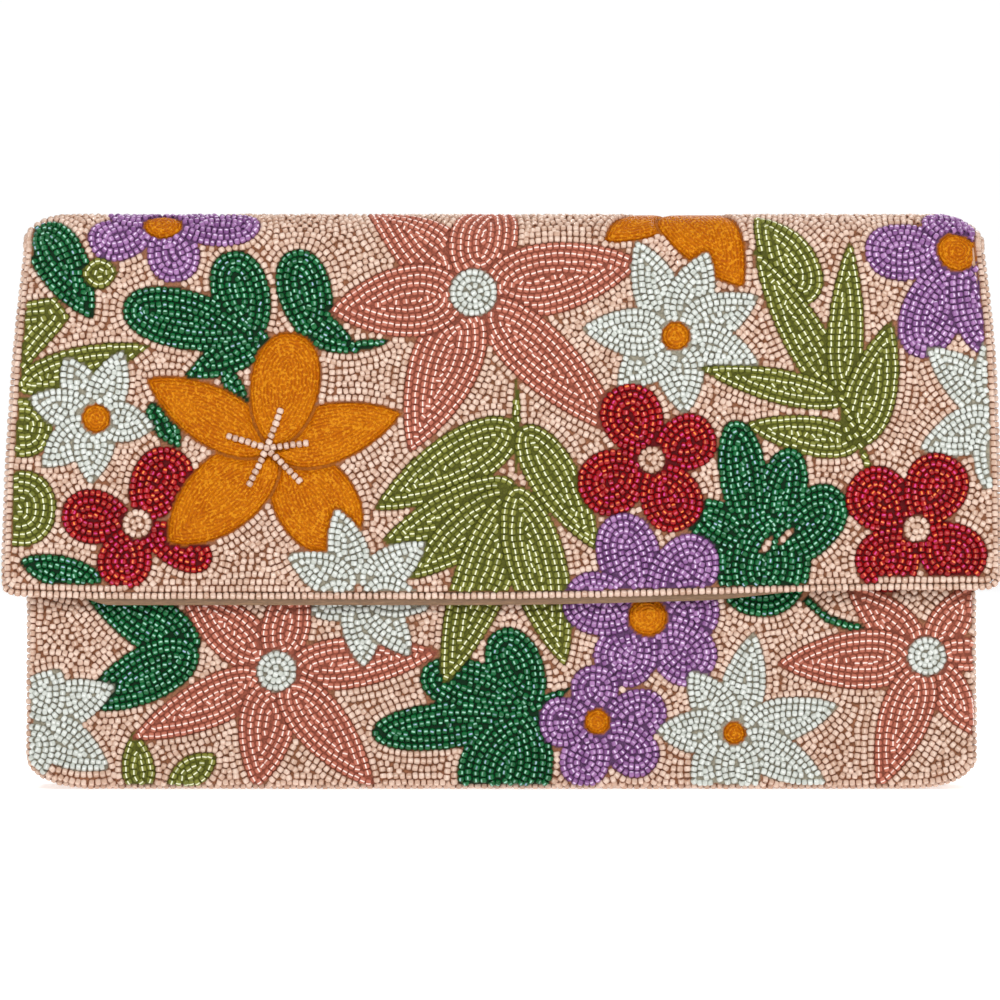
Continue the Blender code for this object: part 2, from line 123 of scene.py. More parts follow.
FACE = Plane(-1, lean(EDGE_HEIGHT + EDGE_TURN + LAYER / 2))
BACK = Plane(1, lean(2.6))
FOLD_START = FACE.touch[2]  # height up the flap at which the fold begins
FOLD_MIDDLE = FOLD_START + FOLD_RADIUS * (math.pi / 2 - FACE.angle)
FOLD_END = FOLD_START + FOLD_RADIUS * (math.pi - FACE.angle - BACK.angle)
FOLD_HALVES = (("fold_front", FOLD_START, FOLD_MIDDLE), ("fold_back", FOLD_MIDDLE, FOLD_END))


def smooth(t):
    t = np.clip(t, 0.0, 1.0)
    return t * t * (3 - 2 * t)


def flap_edge(x):
    half = FLAP_HALF
    return EDGE_HEIGHT + EDGE_SLANT * (
        smooth((x / half + 0.075) / 0.94) + 0.27 * smooth((-x / half - 0.75) / 0.25)
    )


def flap_half(h, side=0):
    """Half the flap's width. side is -1 or 1 for its left or right, which taper a little differently."""
    t = np.clip((h - EDGE_HEIGHT) / (FOLD_START - EDGE_HEIGHT), 0, 1)
    left, right = FLAP_HALF - 5.2 * t**1.9, FLAP_HALF - 3.8 * t**3
    return np.where(side < 0, left, np.where(side > 0, right, np.minimum(left, right)))


def flap_point(x, h, depth):
    """Points of the flap and of the fold over the top."""
    x, h, depth = (np.asarray(a, float) for a in np.broadcast_arrays(x, h, depth))
    run = (h - FOLD_START) / FACE.up[2]
    flat = FACE.touch + run[..., None] * FACE.up + depth[..., None] * FACE.inwards
    turn = math.pi - FACE.angle - (h - FOLD_START) / FOLD_RADIUS
    radius = FOLD_RADIUS - depth
    arc = np.stack([0 * h, radius * np.cos(turn), CENTRE + radius * np.sin(turn)], -1)
    down = h - FOLD_END
    back = BACK.touch - down[..., None] * BACK.up + depth[..., None] * BACK.inwards
    out = np.where((h < FOLD_START)[..., None], flat, np.where((h > FOLD_END)[..., None], back, arc))
    out[..., 0] = x
    return pinch(out)


def pinch(p):
    """The two ends of the fold are drawn in a little, so its corners are round."""
    end = np.clip((np.abs(p[..., 0]) - 117.0) / 10.0, 0, 1.2) ** 2
    share = 0.42 * end * smooth((p[..., 2] - 116.0) / 28.0)
    out = p.copy()
    out[..., 1] *= 1 - share
    out[..., 2] = np.where(p[..., 2] > CENTRE, CENTRE + (p[..., 2] - CENTRE) * (1 - share), p[..., 2])
    return out


def flap_lie(u, h, depth):
    """A laid-out point of the flap's beadwork on the bag, round the flap's side edges too."""
    u, h = np.broadcast_arrays(np.asarray(u, float), np.asarray(h, float))
    flat = flap_half(h, np.sign(u)) - RIM
    turn = np.maximum(np.abs(u) - flat, 0) / RIM_LINE
    x = np.sign(u) * (np.minimum(np.abs(u), flat) + (RIM - depth) * np.sin(turn))
    return flap_point(x, h, RIM - (RIM - depth) * np.cos(turn))


def body_flat(top, inset=RIM, steps=14):
    """Outline of the level part of the body's front or back, from its lower left corner round to its top."""
    a, b = CORNER[0] - inset, CORNER[1] - inset
    cx, cz = BODY_HALF - CORNER[0], CORNER[1]
    right = [(cx + a * math.sin(t), cz - b * math.cos(t)) for t in np.linspace(0, math.pi / 2, steps)]
    right.append((BODY_HALF - inset, top))
    return np.array([*[(-x, z) for x, z in reversed(right)], *right])


def nearest(points, line):
    """The nearest place on an open line of points."""
    a, b = line[:-1], line[1:]
    d = b - a
    t = np.clip(((points[:, None] - a) * d).sum(-1) / np.maximum((d * d).sum(-1), 1e-9), 0, 1)
    spots = a + t[..., None] * d
    gap = ((points[:, None] - spots) ** 2).sum(-1)
    return spots[np.arange(len(points)), gap.argmin(1)]


def body_lie(panel, base_depth, top):
    """A function that lays points of the front or the back on the bag, round its lower edge and sides too."""
    line = body_flat(top + 60)

    def lie(u, v, depth):
        u, v = np.broadcast_arrays(np.asarray(u, float), np.asarray(v, float))
        shape, u, v = u.shape, u.ravel().copy(), v.ravel().copy()
        depth = np.broadcast_to(np.asarray(depth, float), shape).ravel()
        turn = np.zeros(len(u))
        near = (np.abs(u) > BODY_HALF - RIM - 0.01) | (v < CORNER[1])
        q = np.stack([u[near], v[near]], 1)
        if len(q):
            spot = nearest(q, line)
            away = q - spot
            gap = np.hypot(*away.T)
            middle = np.array((0, 40.0))
            outside = (away * (q - middle)).sum(1) > 0
            outside &= ((spot - middle) * away).sum(1) > 0
            direction = away / np.maximum(gap, 1e-9)[:, None]
            turned = np.where(outside, gap, 0) / RIM_LINE
            reach = (RIM - depth[near]) * np.sin(turned)
            place = np.where(outside[:, None], spot + direction * reach[:, None], q)
            turn[near] = turned
            u[near], v[near] = place.T
        out = panel.place(u, v, base_depth + RIM - (RIM - depth) * np.cos(turn))
        if panel.side > 0:
            out = pinch(out)
        return out.reshape(*shape, 3)

    return lie


front_lie = body_lie(FACE, FRONT_DEPTH, FRONT_BEAD_TOP)
back_lie = body_lie(BACK, 0.0, BACK.touch[2])

# ---------------------------------------------------------------- the sewn pattern, in millimetres

ROUND, POINTED, LENS = (0.6, 0.45), (0.5, 0.85), (0.75, 0.75)


def leaf(base, tip, width, shape=POINTED, steps=22):
    """Outline of a petal. Its half-width opens as t**a from the base, and closes as (1-t)**b at the tip."""
    t = (1 - np.cos(np.linspace(0, math.pi, steps))) / 2
    w = t ** shape[0] * (1 - t) ** shape[1]
    w *= width / 2 / w.max()
    base, tip = np.array(base, float), np.array(tip, float)
    run = tip - base
    side = np.array((-run[1], run[0])) / np.hypot(*run)
    left, right = base + t[:, None] * run + w[:, None] * side, base + t[:, None] * run - w[:, None] * side
    return np.vstack([left, right[-2:0:-1]])


def disc(centre, radius, steps=24):
    t = np.linspace(0, 2 * math.pi, steps, endpoint=False)
    return np.array(centre) + radius * np.stack([np.cos(t), np.sin(t)], 1)


def stem(points, width=1.9):
    """Outline of a narrow stalk along a line of points."""
    p = np.array(points, float)
    run = np.gradient(p, axis=0)
    side = np.stack([-run[:, 1], run[:, 0]], 1) / np.hypot(*run.T)[:, None] * width / 2
    return np.vstack([p + side, (p - side)[::-1]])


def petals(colour, centre, tips, width, shape=POINTED, start=0.06):
    """One element for each petal, drawn from near the flower's centre. A tip may give its own width."""
    out = []
    for tip in tips:
        c, t = np.array(centre, float), np.array(tip[:2], float)
        out.append((colour, [leaf(c + (t - c) * start, t, tip[2] if len(tip) > 2 else width, shape)]))
    return out


def flower(colour, centre, tips, width, core, core_radius, shape=POINTED):
    return [*petals(colour, centre, tips, width, shape), (core, [disc(centre, core_radius)])]


def plant(colour, leaves, shape=POINTED):
    """Leaves that are sewn as one."""
    return [(colour, [leaf(l[0], l[1], l[2], l[3] if len(l) > 3 else shape) for l in leaves])]


def pattern(body):
    """The elements of the pattern, the lowest first: (colour, outlines). The flap has no body ones."""
    green, olive, pink, red = "green", "olive", "pink", "red"
    white, purple, orange = "white", "purple", "orange"
    p = []
    # left side of the flap
    p += [(green, [leaf((-125, 154), (-109, 125.5), 14.5, (0.5, 0.8))])]
    p += petals(
        purple, (-90.5, 152.5), [(-110, 145), (-85.5, 135.5), (-64.5, 151.5), (-104, 163), (-78, 166)], 14,
        ROUND
    )
    p += [(orange, [disc((-90.5, 152.5), 5.3)])]
    p += [(olive, [leaf((-112, 137.5), (-102.5, 138), 8.5, LENS)])]
    p += [
        (
            olive,
            [
                np.array(
                    [(-136, 129), (-119, 131.5), (-115, 126), (-118, 122), (-129, 109.5), (-136, 106)],
                    float
                )
            ]
        ),
        (olive, [leaf((-129.5, 107.5), (-94, 118.5), 11)]),
        (olive, [leaf((-138, 98), (-119.5, 95.5), 16, ROUND)]),
        (olive, [leaf((-141, 75), (-118.5, 75), 20.5, ROUND)]),
    ]
    p += plant(
        green,
        [
            ((-63, 120.5), (-101, 129), 16, (0.7, 0.45)),
            ((-65.5, 119.5), (-73, 143.5), 15.5, ROUND),
            ((-62, 121), (-85, 109.5), 10, (0.5, 0.9)),
            ((-74.5, 112.5), (-67, 101), 5),
        ],
    )
    p += plant(
        green,
        [
            ((-49, 119.5), (-55.5, 144), 14.5, ROUND),
            ((-56, 127), (-38, 116.5), 9.5, (0.6, 0.9)),
            ((-44, 117.5), (-30, 119.5), 3.0, LENS),
        ],
    )
    p += plant(green, [((-93.5, 103), (-85.5, 91), 7.5)])
    p += plant(green, [((-128, 61), (-106.5, 55), 9, ROUND)])
    p += petals(
        red, (-97, 71), [(-86, 90.5, 16), (-117, 74, 14.5), (-102.5, 54, 14.5), (-77.5, 60, 11)], 14, ROUND
    )
    p += [("peach", [disc((-97, 71), 3.9)])]
    p += flower(
        white,
        (-108, 99),
        [(-116.5, 115.5), (-101, 117), (-126, 104.5), (-122.5, 86), (-109.5, 81.5), (-92.5, 96.5)],
        11,
        orange,
        4.0,
    )
    p += plant(orange, [((-60, 91.5), (-41, 64.5), 22, ROUND)])
    p += plant(orange, [((-60, 91.5), (-88.5, 66), 20, (0.6, 0.7))])
    p += plant(orange, [((-61, 90.5), (-94.5, 109.5), 16, (0.6, 0.8))])
    p += plant(orange, [((-62, 90.5), (-26.5, 100.5), 16.5, (0.55, 0.85))])
    p += plant(orange, [((-60.5, 91), (-55.5, 122), 19, ROUND)])
    # the pink flower of the body and its neighbours
    if body:
        p += plant(green, [((-81, 36.5), (-113.5, 56.5), 15)])
        p += plant(green, [((-81, 37.5), (-112, 22), 15, (0.5, 0.75))])
        p += petals(
            white, (-126.5, 18.5),
            [(-103, 27.5), (-104.5, 5.5), (-117.5, 32), (-123.5, 2), (-139, 27), (-140, 10)], 13
        )
        p += plant(olive, [((-96, -1), (-98, 15.5), 9)])
        p += plant(olive, [((-89, 0.5), (-76, 9), 8.5, LENS)])
        p += flower(
            pink,
            (-60, 31.5),
            [
                (-86.5, 55, 14.5),
                (-54, 60, 13),
                (-16.5, 36.5, 14),
                (-98.5, 13.5, 13.5),
                (-65.5, 0, 15.5),
                (-34, 0.5, 14.5),
            ],
            14,
            white,
            5.4,
        )
    # middle of the flap
    p += flower(
        pink,
        (-7.5, 132.5),
        [
            (-36, 160.5, 17.5),
            (-1, 168, 18.5),
            (37.5, 141, 19.5),
            (33, 94, 16.5),
            (-24.5, 90, 19),
            (-46, 127.5, 19.5),
        ],
        18,
        white,
        6.4,
    )
    p += plant(olive, [((4.5, 97), (-34, 74.5), 16), ((4, 110), (4, 84), 2.2, LENS)])
    p += [
        (olive, [leaf((4, 81.5), (-32, 66), 12.5)]),
        (olive, [leaf((5.5, 97), (26, 63.5), 13.5)]),
    ]
    if body:
        p += plant(
            green,
            [
                ((9.5, 21.5), (-21.5, 31), 15, ROUND), ((9.5, 21.5), (-1, 42.5), 14.5, ROUND),
                ((9, 19.5), (-34.5, 15), 12.5, ROUND), ((3, 19.5), (18.5, 27), 3.2, LENS),
                ((7, 23), (-3.5, -8), 25, ROUND)
            ]
        )
    p += [
        (olive, [leaf((4, 79), (-25.5, 56), 13)]),
        (olive, [leaf((3.5, 79.5), (-15.5, 28), 15.5, (0.55, 0.8))]),
        (olive, [leaf((3.5, 81), (17, 33), 16, (0.55, 0.8))]),
    ]
    p += petals(
        white, (-38, 53.5),
        [(-44, 75), (-57, 62.5), (-20, 66), (-51, 46.5), (-36.5, 32.5), (-24, 35.5), (-19, 48.5)], 11
    )
    # right side of the flap
    p += plant(orange, [((46, 160), (27.5, 146.5), 14, (0.4, 0.85))])
    p += plant(orange, [((46.5, 161.5), (64.5, 134), 20, (0.35, 0.8))])
    p += flower(
        white,
        (46.5, 121),
        [(36, 146.5), (55, 143.5), (68.5, 131.5), (68.5, 113.5), (49, 100), (31, 107.5), (21.5, 123)],
        13,
        orange,
        4.0,
    )
    p += [
        (olive, [leaf((83, 130), (68, 156), 14.5)]),
        (olive, [leaf((90.5, 104), (67.5, 144), 12)]),
        (olive, [leaf((91, 104), (93, 146.5), 10)]),
        (olive, [leaf((91.5, 103.5), (52.5, 112.5), 9.5)]),
        (olive, [leaf((95.5, 92), (64.5, 97.5), 11)]),
        (olive, [leaf((94.5, 91.5), (104, 125), 14)]),
        (olive, [stem([(90, 106), (94, 96), (98.5, 84)])]),
    ]
    p += flower(
        purple, (122, 144), [(97, 144), (118.5, 160, 15), (110, 115.5), (130, 116.5, 13), (138, 150)], 16.5,
        orange, 5.8, ROUND
    )
    p += petals(white, (135, 99.5), [(113.5, 118), (111.5, 91), (128.5, 80), (130, 122)], 13)
    p += plant(
        green,
        [
            ((68, 62.5), (62, 98.5), 13, ROUND),
            ((70.5, 62.5), (77.5, 91), 13, ROUND),
            ((70, 59.5), (90.5, 79.5), 16.5, ROUND),
            ((72, 62.5), (49.5, 75), 13, ROUND),
            ((72, 78), (68, 46), 25, ROUND),
        ],
    )
    p += [
        ("peach", [leaf((73.5, 65.5), (78, 70), 1.9, LENS)]),
        ("peach", [leaf((69, 63), (72, 67.5), 1.9, LENS)])
    ]
    p += petals(
        red, (40, 88), [(31, 107.5, 16.5), (56.5, 96, 15), (21.5, 77.5, 17.5), (49, 69.5, 16.5)], 16, ROUND
    )
    p += [("peach", [disc((40, 88), 3.6)])]
    p += petals(red, (110.5, 69.5), [(93.5, 83), (119.5, 89), (97, 55), (127.5, 57.5)], 17, ROUND)
    p += [("peach", [disc((110.5, 69.5), 3.6)])]
    p += flower(
        purple, (39, 46), [(30.5, 73.5), (55, 66.5), (58, 49), (55, 30), (29, 28.5), (16.5, 52)], 17,
        orange, 5.4, ROUND
    )
    if body:
        p += flower(
            purple, (25.5, 18), [(24.5, 33, 13), (44, 21.5), (40.5, 5.5), (20, 1), (10, 18)], 13.5, orange,
            3.6, ROUND
        )
        p += flower(
            white,
            (62, 15),
            [(67.5, 42), (50, 31.5), (41, 15.5), (90, 22.5), (86.5, 1.5), (51, 0), (64, -8)],
            12,
            orange,
            3.2,
        )
        p += [(green, [stem([(81, 51), (87, 45.5), (97.5, 42)], 2.4)])]
        p += flower(
            pink, (113.5, 35.5),
            [
                (92, 55, 12), (127, 55.5, 11), (137, 36.5, 9), (127, 14, 11), (73.5, 33.5, 16),
                (100.5, 0.5, 14)
            ],
            12, white, 5.2,
        )
    return p


def moved(elements, dx, dh):
    """The same elements mirrored, and set down a little further on."""
    return [(colour, [o * (-1, 1) + (dx, dh) for o in outlines]) for colour, outlines in elements]


# ---------------------------------------------------------------- settings


def tone(*rgb):
    """A colour given as it looks, from 0 to 255, made linear."""
    return tuple((c / 255 / 12.92) if c <= 10 else ((c / 255 + 0.055) / 1.055) ** 2.4 for c in rgb)


def bead_size(name, *millimetres):
    about = "Row spacing, spacing along the row, radius and half length of a bead"
    default = [v / MM for v in millimetres]
    return bpy.props.FloatVectorProperty(
        name=name, description=about, default=default, size=4, precision=5, unit="LENGTH"
    )


def paint(name, about, *rgb):
    return bpy.props.FloatVectorProperty(
        name=name, description=about, default=tone(*rgb), size=3, min=0.0, max=1.0, subtype="COLOR"
    )


def size(name, about, millimetres):
    return bpy.props.FloatProperty(
        name=name, description=about, default=millimetres / MM, precision=5, unit="LENGTH"
    )


def power(name, about, watts):
    return bpy.props.FloatProperty(name=name, description=about, default=watts, min=0.0, unit="POWER")


class BeadSettings(bpy.types.PropertyGroup):
    """Sizes of the seed beads"""

    seed: bpy.props.IntProperty(
        name="Seed", description="Starts the small irregularities of the sewing", default=7
    )
    peach: bead_size("Peach beads", 1.84, 1.70, 0.95, 0.80)
    white: bead_size("White beads", 1.78, 1.62, 0.92, 0.76)
    pink: bead_size("Pink beads", 2.12, 1.74, 1.07, 0.83)
    olive: bead_size("Olive beads", 2.16, 1.74, 1.08, 0.83)
    green: bead_size("Green beads", 1.98, 1.68, 1.01, 0.79)
    red: bead_size("Red beads", 1.96, 1.66, 1.00, 0.78)
    purple: bead_size("Purple beads", 1.90, 1.62, 0.97, 0.76)
    edge_radius: size("Edge bead radius", "Radius of the beads of the flap's edge row", 0.98)


class ColourSettings(bpy.types.PropertyGroup):
    """Colours of the beads, the thread and the cloth"""

    peach_dark: paint("Peach, dark", "Darkest of the ground's beads", 196, 160, 138)
    peach_light: paint("Peach, light", "Lightest of the ground's beads", 226, 198, 180)
    white_dark: paint("White, dark", "Darkest of the white beads", 192, 196, 188)
    white_light: paint("White, light", "Lightest of the white beads", 216, 220, 214)
    pink_dark: paint("Pink, dark", "Darkest of the pink beads", 176, 100, 80)
    pink_light: paint("Pink, light", "Lightest of the pink beads", 196, 118, 96)
    olive_dark: paint("Olive, dark", "Darkest of the olive beads", 106, 110, 36)
    olive_light: paint("Olive, light", "Lightest of the olive beads", 132, 134, 54)
    green_dark: paint("Green, dark", "Darkest of the green beads", 0, 78, 34)
    green_light: paint("Green, light", "Lightest of the green beads", 16, 104, 54)
    red_dark: paint("Red, dark", "Darkest of the red beads", 136, 0, 8)
    red_light: paint("Red, light", "Lightest of the red beads", 166, 8, 16)
    purple_dark: paint("Purple, dark", "Darkest of the purple beads", 126, 76, 134)
    purple_light: paint("Purple, light", "Lightest of the purple beads", 172, 124, 178)
    # Painted shade and light of the thread: darker in its furrows, lighter on its ridges.
    thread_dark: paint("Thread, dark", "The embroidery thread in its furrows", 168, 82, 0)
    thread_light: paint("Thread, light", "The embroidery thread on its ridges", 200, 112, 0)
    # Each satin's dark and light colours are its painted shade and painted sheen.
    backing_dark: paint("Backing satin, dark", "Backing satin in its shade", 116, 86, 58)
    backing_light: paint("Backing satin, light", "Backing satin where it shines", 150, 116, 84)
    lining_dark: paint("Lining satin, dark", "Lining satin in its shade", 190, 146, 116)
    lining_light: paint("Lining satin, light", "Lining satin where it shines", 222, 182, 152)
    binding_dark: paint("Binding, dark", "Binding tape in its shade", 160, 118, 88)
    binding_light: paint("Binding, light", "Binding tape where it shines", 198, 154, 124)
    plating_dark: paint("Plating, dark", "The snap's plating where it is worn", 206, 184, 136)
    plating_light: paint("Plating, light", "The snap's plating where it is bright", 224, 204, 158)


class ClothSettings(bpy.types.PropertyGroup):
    """Thicknesses of the cloth"""

    satin: size("Satin", "Thickness of the satin layers", 0.3)
    gusset: size("Gusset", "Thickness of the side gussets", 0.35)
    tape: size("Pocket tape", "Thickness of the tape along the pocket", 0.25)
    gusset_fold: size("Gusset fold", "How far the gussets fold in at the mouth", 14.2)


class StageSettings(bpy.types.PropertyGroup):
    """Lights and camera"""

    key: power("Key light", "Power of the small light at the upper left", 8.5)
    fill: power("Fill light", "Power of the light at the right", 4.5)
    top: power("Top light", "Power of the light overhead", 5.0)
    back: power("Back light", "Power of the light behind", 5.5)
    sky: bpy.props.FloatProperty(
        name="Sky", description="Strength of the even light all round", default=0.37, min=0.0
    )
    lens: bpy.props.FloatProperty(
        name="Lens", description="Focal length", default=180.0, min=1.0, unit="CAMERA"
    )
    width: size("Frame", "Width that the camera takes in at the flap", 265.8)


GROUPS = {
    "purse_beads": BeadSettings,
    "purse_colours": ColourSettings,
    "purse_cloth": ClothSettings,
    "purse_stage": StageSettings,
}


def settings(group):
    return getattr(bpy.context.scene, f"purse_{group}")


def shades(name):
    """The dark and the light colour of a finish, as set."""
    colours = settings("colours")
    return tuple(getattr(colours, name + "_dark")), tuple(getattr(colours, name + "_light"))


# ---------------------------------------------------------------- laying out the beads

CELL = 0.35
REACH = 6.5  # how far round an outline its distances are worked out


def distances(outline, xs, ys):
    """Distance from each grid point to a closed outline, positive inside it."""
    x, y = np.meshgrid(xs, ys)
    best, inside = np.full(x.shape, 1e9), np.zeros(x.shape, bool)
    for (ax, ay), (bx, by) in zip(outline, np.roll(outline, -1, 0)):
        dx, dy = bx - ax, by - ay
        size = dx * dx + dy * dy
        if size < 1e-12:
            continue
        t = np.clip(((x - ax) * dx + (y - ay) * dy) / size, 0, 1)
        best = np.minimum(best, (x - ax - t * dx) ** 2 + (y - ay - t * dy) ** 2)
        inside ^= ((ay > y) != (by > y)) & (x < ax + (y - ay) * dx / (dy if dy else 1e-12))
    return np.where(inside, 1, -1) * np.sqrt(best)


class Field:
    """Distances on part of the grid, read at any point."""

    def __init__(self, x0, y0, values):
        self.x0, self.y0, self.rows = x0, y0, values.tolist()
        self.wide, self.tall = values.shape[1] - 2, values.shape[0] - 2

    def at(self, x, y):
        fx, fy = (x - self.x0) / CELL, (y - self.y0) / CELL
        i, j = int(fx), int(fy)
        if i < 0 or j < 0 or i > self.wide or j > self.tall:
            return -9.0
        u, v = fx - i, fy - j
        a, b = self.rows[j], self.rows[j + 1]
        return (a[i] * (1 - u) + a[i + 1] * u) * (1 - v) + (b[i] * (1 - u) + b[i + 1] * u) * v

    def slope(self, x, y):
        e = 0.35
        gx, gy = self.at(x + e, y) - self.at(x - e, y), self.at(x, y + e) - self.at(x, y - e)
        size = math.hypot(gx, gy)
        return (gx / size, gy / size) if size > 0.12 else None


def bead(colour):
    """Row spacing, spacing along the row, radius and half length of one colour's beads, in millimetres."""
    return [v * MM for v in getattr(bpy.context.scene.purse_beads, colour)]


THREAD = "orange"
# colour of the cloth and thread between the beads, painted darker as the shade that falls between them, and
# how deep it lies below their crowns
SHADED_GROUND = {
    "peach": ((158, 106, 76), 1.12),
    "white": ((160, 154, 136), 1.05),
    "pink": ((146, 78, 60), 0.74),
    "olive": ((88, 90, 26), 0.74),
    "green": ((2, 44, 18), 1.0),
    "red": ((96, 0, 6), 0.95),
    "purple": ((100, 64, 106), 0.9),
    "orange": ((168, 92, 10), 2.1),
}


class Ground:
    """A flat area of cloth that takes beads."""

    def __init__(self, outline, rng, border):
        self.outline, self.rng = np.array(outline, float), rng
        low, high = self.outline.min(0) - 2, self.outline.max(0) + 2
        self.x0, self.y0 = (math.floor(v / CELL) * CELL for v in low)
        self.xs = np.arange(self.x0, high[0], CELL)
        self.ys = np.arange(self.y0, high[1], CELL)
        self.rim = distances(self.outline, self.xs, self.ys)
        self.border = border(*np.meshgrid(self.xs, self.ys))
        self.beads, self.cells = [], {}
        # Colour of the ground between the beads, with its painted shade.
        self.shaded_tint = np.empty((*self.rim.shape, 3))
        self.shaded_tint[:] = tone(*SHADED_GROUND["peach"][0])
        self.deep = np.full(self.rim.shape, SHADED_GROUND["peach"][1])

    def free(self, x, y, tx, ty, row, pitch, least=0.8):
        """No bead lies too near. Distances count in the bead's own length and width."""
        ci, cj = int(x // 2.2), int(y // 2.2)
        limit = least * least
        for i in (ci - 1, ci, ci + 1):
            for j in (cj - 1, cj, cj + 1):
                for px, py, ptx, pty, prow, ppitch in self.cells.get((i, j), ()):
                    dx, dy = px - x, py - y
                    if dx * dx + dy * dy > 5.0:
                        continue
                    wide, long = (row + prow) / 2, (pitch + ppitch) / 2
                    a = ((dx * tx + dy * ty) / long) ** 2 + ((dy * tx - dx * ty) / wide) ** 2
                    b = ((dx * ptx + dy * pty) / long) ** 2 + ((dy * ptx - dx * pty) / wide) ** 2
                    if a + b < 2 * limit:
                        return False
        return True

    def put(self, colour, x, y, tx, ty, lift=0.0):
        row, pitch = bead(colour)[:2]
        self.cells.setdefault((int(x // 2.2), int(y // 2.2)), []).append((x, y, tx, ty, row, pitch))
        self.beads.append((colour, x, y, tx, ty, lift))

    def walk(self, colour, field, level, x, y, room, clear):
        """Sews a row of beads both ways from a point, at one distance inside the outline."""
        row, pitch = bead(colour)[:2]

        def settle(x, y):
            for _ in range(3):
                g = field.slope(x, y)
                if g is None:
                    return None
                gap = level - field.at(x, y)
                x, y = x + g[0] * gap, y + g[1] * gap
                if abs(gap) < 0.05:
                    break
            g = field.slope(x, y)
            return None if g is None else (x, y, -g[1], g[0])

        first = settle(x, y)
        if first is None:
            return
        x, y, tx, ty = first
        if room.at(x, y) < clear or not self.free(x, y, tx, ty, row, pitch, 0.86):
            return
        self.put(colour, x, y, tx, ty)
        for sense in (1, -1):
            x, y, tx, ty = first
            tx, ty = tx * sense, ty * sense
            for _ in range(400):
                step = pitch * (1 + 0.05 * (self.rng.random() - 0.5))
                spot = settle(x + tx * step, y + ty * step)
                if spot is None:
                    break
                nx, ny, ntx, nty = spot
                if ntx * tx + nty * ty < 0:
                    ntx, nty = -ntx, -nty
                if abs(field.at(nx, ny) - level) > 0.5 or math.hypot(nx - x, ny - y) < 0.6 * pitch:
                    break
                if room.at(nx, ny) < clear or not self.free(nx, ny, ntx, nty, row, pitch, 0.84):
                    break
                self.put(colour, nx, ny, ntx, nty)
                x, y, tx, ty = nx, ny, ntx, nty

    def sew(self, colour, values, x0, y0, room, levels, clear, fill):
        """Rows at each level of a distance field, and then single beads in what is left."""
        field, space = Field(x0, y0, values), Field(x0, y0, room)
        row, pitch = bead(colour)[:2]
        open_ = room >= clear
        for level in levels:
            js, is_ = np.nonzero((np.abs(values - level) < 0.22) & open_)
            order = self.rng.permutation(len(js))[::3]
            for k in order:
                self.walk(colour, field, level, x0 + is_[k] * CELL, y0 + js[k] * CELL, space, clear)
        if not fill:
            return
        for least in (0.88, 0.8, 0.73):
            js, is_ = np.nonzero(room >= clear - (0.12 if least < 0.85 else 0.0))
            for j, i in zip(js[::2].tolist(), is_[::2].tolist()):
                x, y = x0 + i * CELL, y0 + j * CELL
                g = field.slope(x, y)
                if g is None:
                    t = 1.3 * math.sin(0.11 * x + 0.6) + 1.1 * math.sin(0.13 * y + 0.05 * x)
                    g = (math.cos(t), math.sin(t))
                if self.free(x, y, -g[1], g[0], row, pitch, least):
                    self.put(colour, x, y, -g[1], g[0])

    def lay(self, elements):
        """Sews the elements, the upper ones first, then the peach ground. Returns the thread areas."""
        shape = self.rim.shape
        above = np.full(shape, REACH)
        threads = []
        for colour, outlines in reversed(elements):
            points = np.vstack(outlines)
            low, high = points.min(0) - REACH, points.max(0) + REACH
            i0 = max(int((low[0] - self.x0) / CELL), 0)
            i1 = min(int((high[0] - self.x0) / CELL) + 1, shape[1])
            j0 = max(int((low[1] - self.y0) / CELL), 0)
            j1 = min(int((high[1] - self.y0) / CELL) + 1, shape[0])
            if i1 - i0 < 6 or j1 - j0 < 6:
                continue
            inside = np.max([distances(o, self.xs[i0:i1], self.ys[j0:j1]) for o in outlines], 0)
            part = (slice(j0, j1), slice(i0, i1))
            room = np.minimum(np.minimum(inside, above[part]), self.rim[part] - self.border[part])
            x0, y0 = self.x0 + i0 * CELL, self.y0 + j0 * CELL
            mine = room > 0
            self.shaded_tint[part][mine] = tone(*SHADED_GROUND[colour][0])
            rise = smooth((room - 0.15) / 0.7)
            peach = SHADED_GROUND["peach"][1]
            self.deep[part] = np.where(mine, peach + (SHADED_GROUND[colour][1] - peach) * rise, self.deep[part])
            if colour == THREAD:
                threads.append((x0, y0, inside, room))
            elif room.max() > 0.5:
                row = bead(colour)[0]
                deep = inside.max()
                levels = [row * (k + 0.5) for k in range(int(deep / row + 0.6))]
                self.sew(colour, inside, x0, y0, room, levels, 0.40 * row, True)
            above[part] = np.minimum(above[part], -np.minimum(inside, self.rim[part] - self.border[part]))
        row = bead("peach")[0]
        room = np.minimum(above, self.rim)
        sway = 0.35 * np.sin(0.55 * self.xs)[None] * np.sin(0.6 * self.ys + 1)[:, None]
        field = np.minimum(room, REACH) + sway * np.clip((room - 1.6) / 3, 0, 1)
        self.sew("peach", self.rim, self.x0, self.y0, room, [row / 2], 0.36 * row, False)
        self.sew(
            "peach", field, self.x0, self.y0, room, [row * (k + 0.5) for k in range(3)], 0.40 * row, True
        )
        return threads


# ---------------------------------------------------------------- meshes


